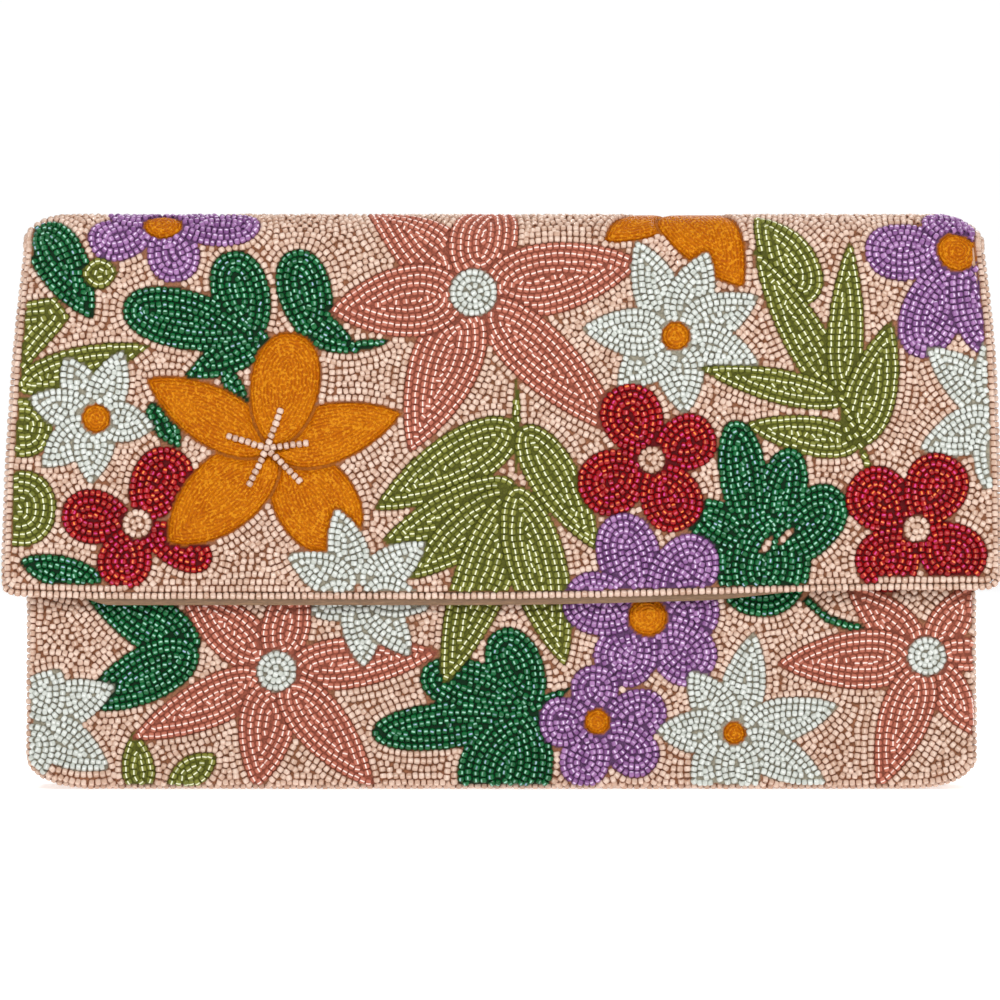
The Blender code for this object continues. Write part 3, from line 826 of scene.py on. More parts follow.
def bead_shape(segments=8):
    """One seed bead of unit radius and unit half length, its hole along X: points, faces, face map and marks.

    The marks of a point are how far it faces out of the cloth and where it is along the bead.
    """
    profile = [
        (-0.80, 0.30), (-1.0, 0.52), (-0.72, 0.87), (0.0, 1.0), (0.72, 0.87), (1.0, 0.52), (0.80, 0.30)
    ]
    points, marks = [], []
    for x, r in profile:
        for k in range(segments):
            a = 2 * math.pi * k / segments
            points.append((x, r * math.sin(a), r * math.cos(a)))
            marks.append((math.cos(a) * (1 if r > 0.8 else 0.75), x))
    faces, uvs = [], []
    n = len(profile)
    for i in range(n):
        for k in range(segments):
            m, o = (k + 1) % segments, (i + 1) % n
            faces.append((i * segments + k, o * segments + k, o * segments + m, i * segments + m))
            uvs.append(
                [
                    (k / segments, i / n), (k / segments, (i + 1) / n), ((k + 1) / segments, (i + 1) / n),
                    ((k + 1) / segments, i / n)
                ]
            )
    return np.array(points), np.array(faces), np.array(uvs), np.array(marks)


SHAPE = bead_shape()
MOST = 1700  # beads in one piece


def frames(lie, u, v, tx, ty, depth):
    """Place, direction along the row and outward direction of beads laid out at (u, v)."""
    e = 0.05
    at = lie(u, v, depth)
    du = (lie(u + e, v, depth) - lie(u - e, v, depth)) / (2 * e)
    dv = (lie(u, v + e, depth) - lie(u, v - e, depth)) / (2 * e)
    along = du * tx[:, None] + dv * ty[:, None]
    out = np.cross(du, dv)
    along /= np.linalg.norm(along, axis=1)[:, None]
    out /= np.linalg.norm(out, axis=1)[:, None]
    return at, along, out


def bead_mesh(name, at, along, out, radius, half, rng, loose=0.09):
    """Beads as one mesh, in metres. loose is how unevenly they lie."""
    points, faces, uvs, marks = SHAPE
    n, m = len(at), len(points)
    along = along + rng.normal(0, loose, (n, 3))
    along -= out * (along * out).sum(1)[:, None] * 0.6
    along /= np.linalg.norm(along, axis=1)[:, None]
    side = np.cross(out, along)
    side /= np.linalg.norm(side, axis=1)[:, None]
    up = np.cross(along, side)
    roll = rng.normal(0, 2.5 * loose, n)[:, None]
    side, up = side * np.cos(roll) + up * np.sin(roll), up * np.cos(roll) - side * np.sin(roll)
    at = at + out * rng.normal(0, loose / 2, n)[:, None]
    at = at + side * rng.normal(0, loose / 2, n)[:, None]
    radius = radius * (1 + rng.normal(0, loose / 4, n))
    half = half * (1 + rng.normal(0, loose / 2, n))
    co = (
        at[:, None]
        + along[:, None] * (points[None, :, 0, None] * half[:, None, None])
        + side[:, None] * (points[None, :, 1, None] * radius[:, None, None])
        + up[:, None] * (points[None, :, 2, None] * radius[:, None, None])
    ) / MM
    mesh = bpy.data.meshes.new(name)
    mesh.vertices.add(n * m)
    mesh.vertices.foreach_set("co", co.astype(np.float32).ravel())
    loops = (faces[None] + (np.arange(n) * m)[:, None, None]).reshape(-1, 4)
    count = len(loops)
    mesh.loops.add(count * 4)
    mesh.polygons.add(count)
    mesh.loops.foreach_set("vertex_index", loops.astype(np.int32).ravel())
    mesh.polygons.foreach_set("loop_start", np.arange(0, count * 4, 4, dtype=np.int32))
    mesh.polygons.foreach_set("use_smooth", np.ones(count, bool))
    grid = math.ceil(math.sqrt(n))
    cell = np.stack([np.arange(n) % grid, np.arange(n) // grid], 1)
    spread = (cell[:, None, None] + 0.06 + 0.88 * uvs[None]) / grid
    layer = mesh.uv_layers.new(name="OFBake")
    layer.data.foreach_set("uv", spread.astype(np.float32).ravel())
    mark = mesh.attributes.new("bead", "FLOAT_VECTOR", "POINT")
    values = np.empty((n, m, 3), np.float32)
    values[..., 0] = rng.random(n)[:, None]
    values[..., 1:] = marks[None]
    mark.data.foreach_set("vector", values.ravel())
    mesh.update()
    mesh.validate()
    thing = bpy.data.objects.new(name, mesh)
    bpy.context.scene.collection.objects.link(thing)
    return thing


def bead_pieces(prefix, beads, lie, attach, rng, nodes):
    """One piece, or a few, for each colour of a list of laid-out beads."""
    made = []
    for colour in TINTS:
        mine = [b for b in beads if b[0] == colour]
        if not mine:
            continue
        mine.sort(key=lambda b: b[1])
        radius, half = bead(colour)[2:]
        parts = math.ceil(len(mine) / MOST)
        for k in range(parts):
            some = mine[k * len(mine) // parts : (k + 1) * len(mine) // parts]
            u, v, tx, ty, lift = np.array([b[1:] for b in some], float).T
            at, along, out = frames(lie, u, v, tx, ty, 1.0)
            at = at + out * (lift + 1.0 - radius)[:, None]
            name = f"{prefix}_{colour}" + (f"_{k + 1}" if parts > 1 else "")
            loose = 0.05 if colour in LINED else 0.12
            thing = bead_mesh(name, at, along, out, radius, half, rng, loose)
            thing.data.materials.append(bead_look(colour))
            attach(thing)
            made.append(thing)
    for node in nodes:
        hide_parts(node)
    return made


# ---------------------------------------------------------------- materials


class Look:
    """A material being wired up."""

    def __init__(self, name, roughness=0.5, **sockets):
        self.material = bpy.data.materials.new(name)
        self.material.use_nodes = True
        self.tree = self.material.node_tree
        self.shader = self.tree.nodes["Principled BSDF"]
        self.shader.inputs["Roughness"].default_value = roughness
        for key, value in sockets.items():
            self.shader.inputs[key.replace("_", " ")].default_value = value

    def add(self, kind, inputs=None, **settings):
        made = self.tree.nodes.new("ShaderNode" + kind)
        if kind in ("TexNoise", "TexVoronoi") and "Vector" not in (inputs or {}):
            self.tree.links.new(self.add("TexCoord").outputs["Object"], made.inputs["Vector"])
        for key, value in settings.items():
            setattr(made, key, value)
        for key, value in (inputs or {}).items():
            socket = made.inputs[key]
            if isinstance(value, bpy.types.NodeSocket):
                self.tree.links.new(value, socket)
            else:
                socket.default_value = value
        return made

    def math(self, how, a, b=0.0, c=None):
        inputs = {0: a, 1: b}
        if c is not None:
            inputs[2] = c
        return self.add("Math", inputs, operation=how).outputs[0]

    def ease(self, value, low, high, to_low=0.0, to_high=1.0):
        return self.add(
            "MapRange",
            {"Value": value, "From Min": low, "From Max": high, "To Min": to_low, "To Max": to_high},
            interpolation_type="SMOOTHSTEP",
        ).outputs[0]

    def mix(self, share, a, b):
        a = (*a, 1) if isinstance(a, tuple) else a
        b = (*b, 1) if isinstance(b, tuple) else b
        return self.add("Mix", {0: share, 6: a, 7: b}, data_type="RGBA").outputs[2]

    def set(self, key, value):
        self.tree.links.new(value, self.shader.inputs[key])

    def bump(self, height, strength, distance):
        made = self.add("Bump", {"Height": height, "Strength": strength, "Distance": distance})
        self.set("Normal", made.outputs[0])


# colour: (glint, its strength, shade at the ends, roughness); the glint is a painted highlight, and the shade
# at the ends is painted shade where the beads meet
TINTS = {
    "peach": ((252, 232, 216), 0.45, (160, 104, 74), 0.20),
    "white": ((248, 250, 248), 0.5, (134, 132, 118), 0.15),
    "pink": ((252, 228, 218), 0.95, (104, 46, 36), 0.22),
    "olive": ((238, 240, 204), 0.95, (54, 56, 12), 0.22),
    "green": ((164, 224, 200), 0.9, (0, 34, 14), 0.12),
    "red": ((255, 140, 56), 0.95, (80, 0, 6), 0.12),
    "purple": ((236, 214, 244), 0.9, (74, 42, 84), 0.14),
}


LINED = ("pink", "olive")  # clear beads over a silver lining; the lining's bright dash is a painted reflection


def bead_look(colour):
    name = f"{colour}_beads_look"
    if name in bpy.data.materials:
        return bpy.data.materials[name]
    glint, strength, shade, roughness = TINTS[colour]
    look = Look(name, roughness, Coat_Weight=0.35, Coat_Roughness=0.06, Specular_IOR_Level=0.2)
    mark = look.add("Attribute", attribute_name="bead").outputs["Vector"]
    split = look.add("SeparateXYZ", {0: mark}).outputs
    chance = look.add("TexWhiteNoise", {"W": split[0]}, noise_dimensions="1D").outputs
    parts = look.add("SeparateColor", {0: chance["Color"]}).outputs
    body = look.mix(split[0], *shades(colour))
    along = look.math("ABSOLUTE", split[2])
    lined = colour in LINED
    if lined:
        # Painted highlight: a bright dash along each bead's crown, where it faces out of the cloth.
        line = look.ease(split[1], 0.90, 0.955)
        ends = look.ease(along, 0.95, 0.84)
        share = look.math("MULTIPLY", line, ends)
        bright = look.ease(parts[0], 0.0, 0.25, 0.45, strength)
        shine = tone(*glint)
        # Painted shade on the sides of each bead that turn away from the front, into the cloth.
        body = look.mix(look.ease(split[1], 0.35, -0.1), body, tone(*shade))
    else:
        # Painted highlight: a small spot on each bead's crown.
        line = look.ease(split[1], 0.86, 0.97)
        ends = look.ease(along, 0.72, 0.35)
        share = look.math("MULTIPLY", line, ends)
        bright = look.ease(parts[0], 0.05, 0.7, 0.2, strength)
        shine = tone(*glint)
        # Painted reflections: on some red beads the highlight turns magenta, on some green ones blue.
        if colour == "red":
            shine = look.mix(look.ease(parts[1], 0.45, 0.6), tone(*glint), tone(226, 50, 150))
        if colour == "green":
            shine = look.mix(look.ease(parts[1], 0.6, 0.9), tone(*glint), tone(170, 190, 230))
    # Mixes the painted highlight into the bead's colour.
    body = look.mix(look.math("MULTIPLY", share, bright), body, shine)
    # Painted shade at each bead's ends, where it meets the next bead.
    body = look.mix(look.ease(along, 0.72, 0.98, 0.0, 0.6 if lined else 0.8), body, tone(*shade))
    look.set("Base Color", body)
    return look.material


def thread_look():
    """Orange embroidery thread, couched in fine lines that follow each petal's outline."""
    name = "orange_thread_look"
    if name in bpy.data.materials:
        return bpy.data.materials[name]
    look = Look(name, 0.38, Specular_IOR_Level=0.06)
    mark = look.add("Attribute", attribute_name="thread").outputs["Vector"]
    split = look.add("SeparateXYZ", {0: mark}).outputs
    wobble = look.add("TexNoise", {"Scale": 700.0, "Detail": 2.0}).outputs[0]
    inside = look.math("MULTIPLY_ADD", wobble, 0.9, split[0])
    wave = look.math("SINE", look.math("MULTIPLY", inside, 2 * math.pi / 0.95))
    stitch = look.add("TexVoronoi", {"Scale": 1500.0, "Randomness": 0.9}).outputs["Distance"]
    glint_fleck = look.add("TexNoise", {"Scale": 1300.0, "Detail": 2.0}).outputs[0]
    # Painted shade: the thread is darker in its furrows and lighter on its ridges.
    body = look.mix(look.ease(wave, -0.9, 0.5), *shades("thread"))
    body = look.mix(look.ease(stitch, 0.2, 0.6, 0.0, 0.5), body, tone(164, 80, 0))
    # Painted glints: small bright gold flecks on the thread.
    body = look.mix(look.ease(glint_fleck, 0.5, 0.64, 0.0, 0.55), body, tone(238, 160, 30))
    patch = look.add("TexNoise", {"Scale": 140.0, "Detail": 3.0}).outputs[0]
    body = look.mix(look.ease(patch, 0.4, 0.65, 0.0, 0.2), body, tone(226, 140, 12))
    body = look.mix(look.ease(split[0], 0.8, 0.1, 0.0, 0.7), body, tone(160, 84, 0))
    look.set("Base Color", body)
    height = look.math("MULTIPLY_ADD", stitch, -1.6, look.math("MULTIPLY", wave, 0.5))
    look.bump(height, 0.8, 0.00022)
    return look.material


def shaded_ground_look():
    """The sewn cloth under the beads, in the colours of the thread on it, painted darker as the shade between
    the beads.
    """
    name = "ground_cloth_look"
    if name in bpy.data.materials:
        return bpy.data.materials[name]
    look = Look(name, 0.6, Specular_IOR_Level=0.15)
    mark = look.add("Attribute", attribute_name="sewn").outputs["Vector"]
    thread = look.add("TexNoise", {"Scale": 1800.0, "Detail": 3.0}).outputs[0]
    dark = look.add("Mix", {0: 0.35, 6: mark, 7: (0, 0, 0, 1)}, data_type="RGBA").outputs[2]
    look.set("Base Color", look.mix(look.ease(thread, 0.35, 0.65), dark, mark))
    look.bump(thread, 0.4, 0.0001)
    return look.material


def satin_look(finish, roughness=0.36):
    """Woven satin: long floats that catch the light along one direction, with faint slubs."""
    name = f"{finish}_satin_look"
    if name in bpy.data.materials:
        return bpy.data.materials[name]
    dark, light = shades(finish)
    look = Look(name, roughness, Sheen_Weight=0.2, Sheen_Roughness=0.35, Anisotropic=0.4)
    place = look.add("TexCoord").outputs["Object"]
    stretched = look.add("Mapping", {"Vector": place, "Scale": (160.0, 900.0, 1600.0)}).outputs[0]
    floats = look.add(
        "TexNoise", {"Vector": stretched, "Scale": 2.2, "Detail": 4.0, "Roughness": 0.7}
    ).outputs[0]
    warp = look.add(
        "TexWave", {"Vector": place, "Scale": 700.0, "Distortion": 0.4}, bands_direction="X"
    ).outputs[1]
    weft = look.add(
        "TexWave", {"Vector": place, "Scale": 520.0, "Distortion": 0.4}, bands_direction="Z"
    ).outputs[1]
    cloudy = look.add("TexNoise", {"Vector": place, "Scale": 38.0, "Detail": 3.0}).outputs[0]
    # Painted sheen: the floats are lighter where they would catch the light and darker in their shade.
    body = look.mix(look.ease(floats, 0.3, 0.7), dark, light)
    body = look.mix(look.ease(cloudy, 0.42, 0.62, 0.0, 0.22), body, dark)
    look.set("Base Color", body)
    look.set("Roughness", look.ease(floats, 0.25, 0.75, roughness - 0.08, roughness + 0.1))
    weave = look.math("MULTIPLY", warp, weft)
    look.bump(look.math("MULTIPLY_ADD", floats, 1.5, weave), 0.35, 0.00008)
    return look.material


def card_look():
    name = "stiffening_card_look"
    if name in bpy.data.materials:
        return bpy.data.materials[name]
    look = Look(name, 0.85)
    fibre = look.add("TexNoise", {"Scale": 420.0, "Detail": 6.0, "Roughness": 0.7}).outputs[0]
    look.set("Base Color", look.mix(look.ease(fibre, 0.35, 0.65), tone(188, 178, 160), tone(210, 202, 186)))
    look.bump(fibre, 0.3, 0.0001)
    return look.material


def metal_look(name, dark, light, roughness):
    if name in bpy.data.materials:
        return bpy.data.materials[name]
    look = Look(name, roughness, Metallic=1.0)
    place = look.add("TexCoord").outputs["Object"]
    wear = look.add(
        "TexNoise", {"Vector": place, "Scale": 300.0, "Detail": 5.0, "Roughness": 0.7}
    ).outputs[0]
    scratch = look.add("Mapping", {"Vector": place, "Scale": (200.0, 2600.0, 2600.0)}).outputs[0]
    lines = look.add("TexNoise", {"Vector": scratch, "Scale": 3.0, "Detail": 3.0}).outputs[0]
    look.set("Base Color", look.mix(look.ease(wear, 0.35, 0.7), dark, light))
    look.set("Roughness", look.ease(wear, 0.3, 0.7, roughness - 0.08, roughness + 0.14))
    look.bump(lines, 0.2, 0.00004)
    return look.material


def magnet_look():
    name = "snap_magnet_look"
    if name in bpy.data.materials:
        return bpy.data.materials[name]
    look = Look(name, 0.5)
    grit = look.add("TexNoise", {"Scale": 1500.0, "Detail": 4.0}).outputs[0]
    look.set("Base Color", look.mix(look.ease(grit, 0.4, 0.6), tone(46, 46, 49), tone(74, 74, 78)))
    look.bump(grit, 0.4, 0.00005)
    return look.material


# ---------------------------------------------------------------- cloth


def surface(name, points, thickness, material):
    """A smooth grid of points, in millimetres, as a piece in metres."""
    rows, columns = points.shape[:2]
    mesh = bpy.data.meshes.new(name)
    co = points.reshape(-1, 3) / MM
    index = np.arange(rows * columns).reshape(rows, columns)
    quads = np.stack([index[:-1, :-1], index[:-1, 1:], index[1:, 1:], index[1:, :-1]], -1).reshape(-1, 4)
    mesh.from_pydata(co.tolist(), [], quads.tolist())
    mesh.polygons.foreach_set("use_smooth", np.ones(len(quads), bool))
    mesh.update()
    thing = bpy.data.objects.new(name, mesh)
    bpy.context.scene.collection.objects.link(thing)
    if thickness:
        cloth = thing.modifiers.new("cloth", "SOLIDIFY")
        cloth.thickness, cloth.offset = thickness, 0
    mesh.materials.append(material)
    return thing


def baked(thing):
    """Applies the piece's modifiers."""
    graph = bpy.context.evaluated_depsgraph_get()
    mesh = bpy.data.meshes.new_from_object(thing.evaluated_get(graph))
    thing.modifiers.clear()
    thing.data = mesh
    return thing


def puckers(x, z, rng, size=0.25, count=14, wave=26.0):
    """Soft, irregular height of cloth that lies over a board."""
    out = np.zeros(np.broadcast(x, z).shape)
    for _ in range(count):
        a, phase = rng.uniform(0, math.pi), rng.uniform(0, 2 * math.pi)
        length = wave * rng.uniform(0.6, 1.7)
        out += np.sin((x * math.cos(a) + z * math.sin(a)) * 2 * math.pi / length + phase)
    return out * size / math.sqrt(count)


def thread_areas(prefix, threads, lie, split, attach):
    """Raised embroidery for each thread area, cut into pieces where split(h) changes."""
    co, quads, marks = [], [], []
    for number, (x0, y0, inside, room) in enumerate(threads):
        gy, gx = np.gradient(room, CELL)
        size = np.maximum(np.hypot(gx, gy), 0.3)
        keep = room > -CELL * 1.25
        js, is_ = np.nonzero(keep)
        if not len(js) or room.max() < 0.4:
            continue
        index = np.full(room.shape, -1)
        index[keep] = np.arange(len(js)) + sum(len(c) for c in co)
        value = room[keep]
        push = np.where(value < 0, -value, 0)
        x = x0 + is_ * CELL + push * gx[keep] / size[keep]
        y = y0 + js * CELL + push * gy[keep] / size[keep]
        deep = np.clip(np.maximum(value, 0) / 2.4, 0, 1)
        co.append(np.stack([x, y, 2.0 - 1.55 * (1 - (1 - deep) ** 2)], 1))
        marks.append(np.stack([np.maximum(inside[keep], 0), 0 * x + (number * 0.37) % 1, value], 1))
        a, b, c, d = index[:-1, :-1], index[:-1, 1:], index[1:, 1:], index[1:, :-1]
        top = np.maximum(np.maximum(room[:-1, :-1], room[:-1, 1:]), np.maximum(room[1:, 1:], room[1:, :-1]))
        whole = (a >= 0) & (b >= 0) & (c >= 0) & (d >= 0) & (top > 0)
        quads.append(np.stack([a[whole], b[whole], c[whole], d[whole]], 1))
    if not co:
        return []
    co, quads, marks = np.vstack(co), np.vstack(quads), np.vstack(marks)
    made = []
    middle = co[quads][:, :, 1].mean(1)
    kinds = split(middle)
    for kind in sorted(set(kinds.tolist())):
        faces = quads[kinds == kind]
        used, again = np.unique(faces, return_inverse=True)
        place = lie(co[used, 0], co[used, 1], co[used, 2])
        mesh = bpy.data.meshes.new(f"{prefix}_{kind}")
        mesh.from_pydata((place / MM).tolist(), [], again.reshape(-1, 4).tolist())
        mesh.polygons.foreach_set("use_smooth", np.ones(len(faces), bool))
        mark = mesh.attributes.new("thread", "FLOAT_VECTOR", "POINT")
        mark.data.foreach_set("vector", marks[used].astype(np.float32).ravel())
        layer = mesh.uv_layers.new(name="OFBake")
        flat = co[used][:, :2][again.reshape(-1)]
        low = flat.min(0)
        layer.data.foreach_set("uv", ((flat - low) / (flat.max(0) - low).max()).astype(np.float32).ravel())
        mesh.update()
        thing = bpy.data.objects.new(mesh.name, mesh)
        bpy.context.scene.collection.objects.link(thing)
        mesh.materials.append(thread_look())
        attach(thing, kind)
        made.append(thing)
    return made


# ---------------------------------------------------------------- the bag's pieces


def fold_kind(h):
    return np.where(h < FOLD_START, "flap", np.where(h < FOLD_MIDDLE, "fold_front", "fold_back"))


def attach_kind(thing, kind):
    if kind == "flap":
        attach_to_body(thing, "flap")
    elif kind == "fold_front":
        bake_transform(thing)
    elif kind == "fold_back":
        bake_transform(thing)
    elif kind == "front":
        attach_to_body(thing, "front")
    else:
        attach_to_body(thing, "bag")


FLAP_CORNER = 5.0


def flap_border(inset, top, step=1.5):
    """The line of the flap's edge row, set in: down the left side, along the lower edge and up the right."""
    hs = np.arange(top, EDGE_HEIGHT + 8.0, -step)
    out = {}
    for side in (-1, 1):
        x = side * (flap_half(hs, side) - RIM + RIM_RUN - bead("peach")[0] / 2 - inset)
        out[side] = np.stack([x, hs], 1)
    radius = FLAP_CORNER - inset
    lift = EDGE_TURN + LAYER / 2 + inset
    lower = []
    for side in (-1, 1):
        reach = side * (FLAP_HALF - RIM + RIM_RUN - bead("peach")[0] / 2 - inset)
        x = reach - side * radius
        y = flap_edge(x) + lift + radius
        angles = np.linspace(0, math.pi / 2, 7)
        arc = np.stack([x + side * radius * np.cos(angles), y - radius * np.sin(angles)], 1)
        lower.append(arc)
    xs = np.linspace(lower[0][-1, 0], lower[1][-1, 0], 100)[1:-1]
    straight = np.stack([xs, flap_edge(xs) + lift], 1)
    return np.vstack([out[-1], lower[0], straight, lower[1][::-1], out[1][::-1]])


def flap_margin(x, h):
    """How far the coloured pattern keeps off the flap's edges, for its peach border."""
    return np.where(np.abs(x) > 100, 1.84, 0.0) + 0 * h


def ground_cloth(prefix, ground, lie, split):
    """The cloth between the beads, tinted by the thread that shows there and painted darker as the shade
    between the beads.
    """
    made = []
    rim, shaded_tint, deep = ground.rim[::2, ::2], ground.shaded_tint[::2, ::2], ground.deep[::2, ::2]
    step = 2 * CELL
    gy, gx = np.gradient(rim, step)
    size = np.maximum(np.hypot(gx, gy), 0.3)
    keep = rim > -step * 1.1
    js, is_ = np.nonzero(keep)
    index = np.full(rim.shape, -1)
    index[keep] = np.arange(len(js))
    value = rim[keep]
    push = np.where(value < 0.0, -value, 0)
    x = ground.x0 + is_ * step + push * gx[keep] / size[keep]
    y = ground.y0 + js * step + push * gy[keep] / size[keep]
    depth, colour = deep[keep], shaded_tint[keep]
    a, b, c, d = index[:-1, :-1], index[:-1, 1:], index[1:, 1:], index[1:, :-1]
    top = np.maximum(np.maximum(rim[:-1, :-1], rim[:-1, 1:]), np.maximum(rim[1:, 1:], rim[1:, :-1]))
    whole = (a >= 0) & (b >= 0) & (c >= 0) & (d >= 0) & (top > 0)
    quads = np.stack([a[whole], b[whole], c[whole], d[whole]], 1)
    kinds = split(y[quads].mean(1))
    for kind in sorted(set(kinds.tolist())):
        faces = quads[kinds == kind]
        used, again = np.unique(faces, return_inverse=True)
        place = lie(x[used], y[used], depth[used])
        name = f"{prefix}_{kind}"
        mesh = bpy.data.meshes.new(name)
        mesh.from_pydata((place / MM).tolist(), [], again.reshape(-1, 4).tolist())
        mesh.polygons.foreach_set("use_smooth", np.ones(len(faces), bool))
        mark = mesh.attributes.new("sewn", "FLOAT_VECTOR", "POINT")
        mark.data.foreach_set("vector", colour[used].astype(np.float32).ravel())
        layer = mesh.uv_layers.new(name="OFBake")
        flat = np.stack([x[used], y[used]], 1)[again.reshape(-1)]
        low, high = flat.min(0), flat.max(0)
        layer.data.foreach_set("uv", ((flat - low) / (high - low).max()).astype(np.float32).ravel())
        mesh.update()
        thing = bpy.data.objects.new(name, mesh)
        bpy.context.scene.collection.objects.link(thing)
        mesh.materials.append(shaded_ground_look())
        attach_kind(thing, kind)
        made.append(thing)
    return made


class PURSE_OT_flap_beads(bpy.types.Operator):
    """Sew the beads of the flap and of the fold over the top"""

    bl_idname = "purse.flap_beads"
    bl_label = "Flap Beads"

    def execute(self, context):
        rng = np.random.default_rng(settings("beads").seed)
        ground = Ground(flap_border(bead("peach")[0] / 2 + 0.02, FOLD_END + 0.2), rng, flap_margin)
        threads = ground.lay(pattern(False))
        star = [
            ((-62.5, 91), (-58.5, 102)), ((-62.5, 91), (-73.5, 94.5)), ((-62.5, 91), (-50.5, 92.5)),
            ((-62.5, 91), (-67, 81.5)), ((-62.5, 91), (-53, 81.5))
        ]
        stars = []
        for (ax, ay), (bx, by) in star:
            run = math.hypot(bx - ax, by - ay)
            tx, ty = (bx - ax) / run, (by - ay) / run
            for k in range(1, int(run / 1.75) + 1):
                stars.append(("peach", ax + tx * k * 1.75, ay + ty * k * 1.75, tx, ty, 0.75))
        stars.append(("peach", -62.5, 91, 1, 0, 0.75))
        beads = ground.beads + stars
        kinds = fold_kind(np.array([b[2] for b in beads]))
        for kind, nodes in (
            ("flap", ["flap_beadwork"]), ("fold_front", ["fold_beadwork"]), ("fold_back", ["fold_beadwork"])
        ):
            mine = [b for b, k in zip(beads, kinds) if k == kind]
            bead_pieces(
                f"{kind}_beads", mine, flap_lie, lambda t, kind=kind: attach_kind(t, kind), rng, nodes
            )
        thread_areas("thread", threads, flap_lie, fold_kind, attach_kind)
        ground_cloth("ground", ground, flap_lie, fold_kind)
        print("flap beads", len(beads))
        return {"FINISHED"}


def body_ground(top, rng):
    outline = body_flat(top, RIM)
    grown = []
    for i, p in enumerate(outline):
        before, after = outline[max(i - 1, 0)], outline[min(i + 1, len(outline) - 1)]
        run = after - before
        side = np.array((run[1], -run[0])) / np.hypot(*run)
        grown.append(p + side * RIM_RUN)
    return Ground(grown, rng, lambda x, z: np.where((np.abs(x) > 95) | (z < 20), 1.84, 0.0))


class PURSE_OT_front_beads(bpy.types.Operator):
    """Sew the beads of the front panel, below the flap and a little way under it"""

    bl_idname = "purse.front_beads"
    bl_label = "Front Beads"

    def execute(self, context):
        rng = np.random.default_rng(settings("beads").seed + 1)
        ground = body_ground(FRONT_BEAD_TOP, rng)
        threads = ground.lay(pattern(True))
        bead_pieces(
            "front_beads", ground.beads, front_lie, lambda t: attach_kind(t, "front"), rng,
            ["front_beadwork"]
        )
        thread_areas("thread", threads, front_lie, lambda h: np.full(h.shape, "front"), attach_kind)
        ground_cloth("ground", ground, front_lie, lambda h: np.full(h.shape, "front"))
        print("front beads", len(ground.beads))
        return {"FINISHED"}


class PURSE_OT_back_beads(bpy.types.Operator):
    """Sew the beads of the back panel"""

    bl_idname = "purse.back_beads"
    bl_label = "Back Beads"

    def execute(self, context):
        rng = np.random.default_rng(settings("beads").seed + 2)
        top = BACK.touch[2]
        ground = body_ground(top, rng)
        threads = ground.lay(moved(pattern(True), 6, -5))
        bead_pieces(
            "back_beads", ground.beads, back_mirror, lambda t: attach_kind(t, "bag"), rng, ["back_beadwork"]
        )
        thread_areas("thread", threads, back_mirror, lambda h: np.full(h.shape, "back"), attach_kind)
        ground_cloth("ground", ground, back_mirror, lambda h: np.full(h.shape, "back"))
        print("back beads", len(ground.beads))
        return {"FINISHED"}


def back_mirror(u, v, depth):
    """The back seen from behind: its layout runs the other way across."""
    return back_lie(-np.asarray(u, float), v, depth)


class PURSE_OT_base_beads(bpy.types.Operator):
    """Sew the rows of beads along the base"""

    bl_idname = "purse.base_beads"
    bl_label = "Base Beads"

    def execute(self, context):
        rng = np.random.default_rng(settings("beads").seed + 3)
        row, pitch, radius, half = bead("peach")
        front = FACE.place(0.0, 1.0, FRONT_DEPTH)[1] + BASE_ROW + row + OPENING_ROOM
        back = BACK.place(0.0, 1.0, 0.0)[1] - BASE_ROW - row
        line = body_line(1.04)
        count = int(round((back - front) / (row * 0.98)))
        beads = []
        steps = np.r_[0, np.cumsum(np.hypot(*np.diff(line, axis=0).T))]
        for k in range(count + 1):
            y = front + (back - front) * k / count
            s = np.arange(pitch * rng.random(), steps[-1], pitch)
            s = s + rng.normal(0, 0.05, len(s))
            x, z = np.interp(s, steps, line[:, 0]), np.interp(s, steps, line[:, 1])
            tx, tz = (np.interp(s, steps, np.gradient(line[:, k])) for k in (0, 1))
            size = np.hypot(tx, tz)
            tx, tz = tx / size, tz / size
            for i in range(len(s)):
                beads.append((x[i], y + rng.normal(0, 0.05), z[i], tx[i], tz[i]))
        b = np.array(beads)
        at = b[:, :3]
        along = np.stack([b[:, 3], 0 * b[:, 3], b[:, 4]], 1)
        out = np.stack([b[:, 4], 0 * b[:, 3], -b[:, 3]], 1)
        order = np.argsort(at[:, 0])
        halves = np.array_split(order, math.ceil(len(order) / MOST))
        for k, some in enumerate(halves):
            thing = bead_mesh(f"base_beads_{k + 1}", at[some], along[some], out[some], radius, half, rng)
            thing.data.materials.append(bead_look("peach"))
            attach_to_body(thing, "bag")
            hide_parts("base_beadwork")
        print("base beads", len(b))
        return {"FINISHED"}


def body_line(inset, rise=78):
    """The lower edge of the body, set in, with its two corners, as points (x, z)."""
    a, b = CORNER[0] - inset, CORNER[1] - inset
    cx, cz = BODY_HALF - CORNER[0], CORNER[1]
    angles = np.radians(np.linspace(0, rise, 12))
    right = np.stack([cx + a * np.sin(angles), cz - b * np.cos(angles)], 1)
    left = right[::-1] * (-1, 1)
    return np.vstack([left, right])


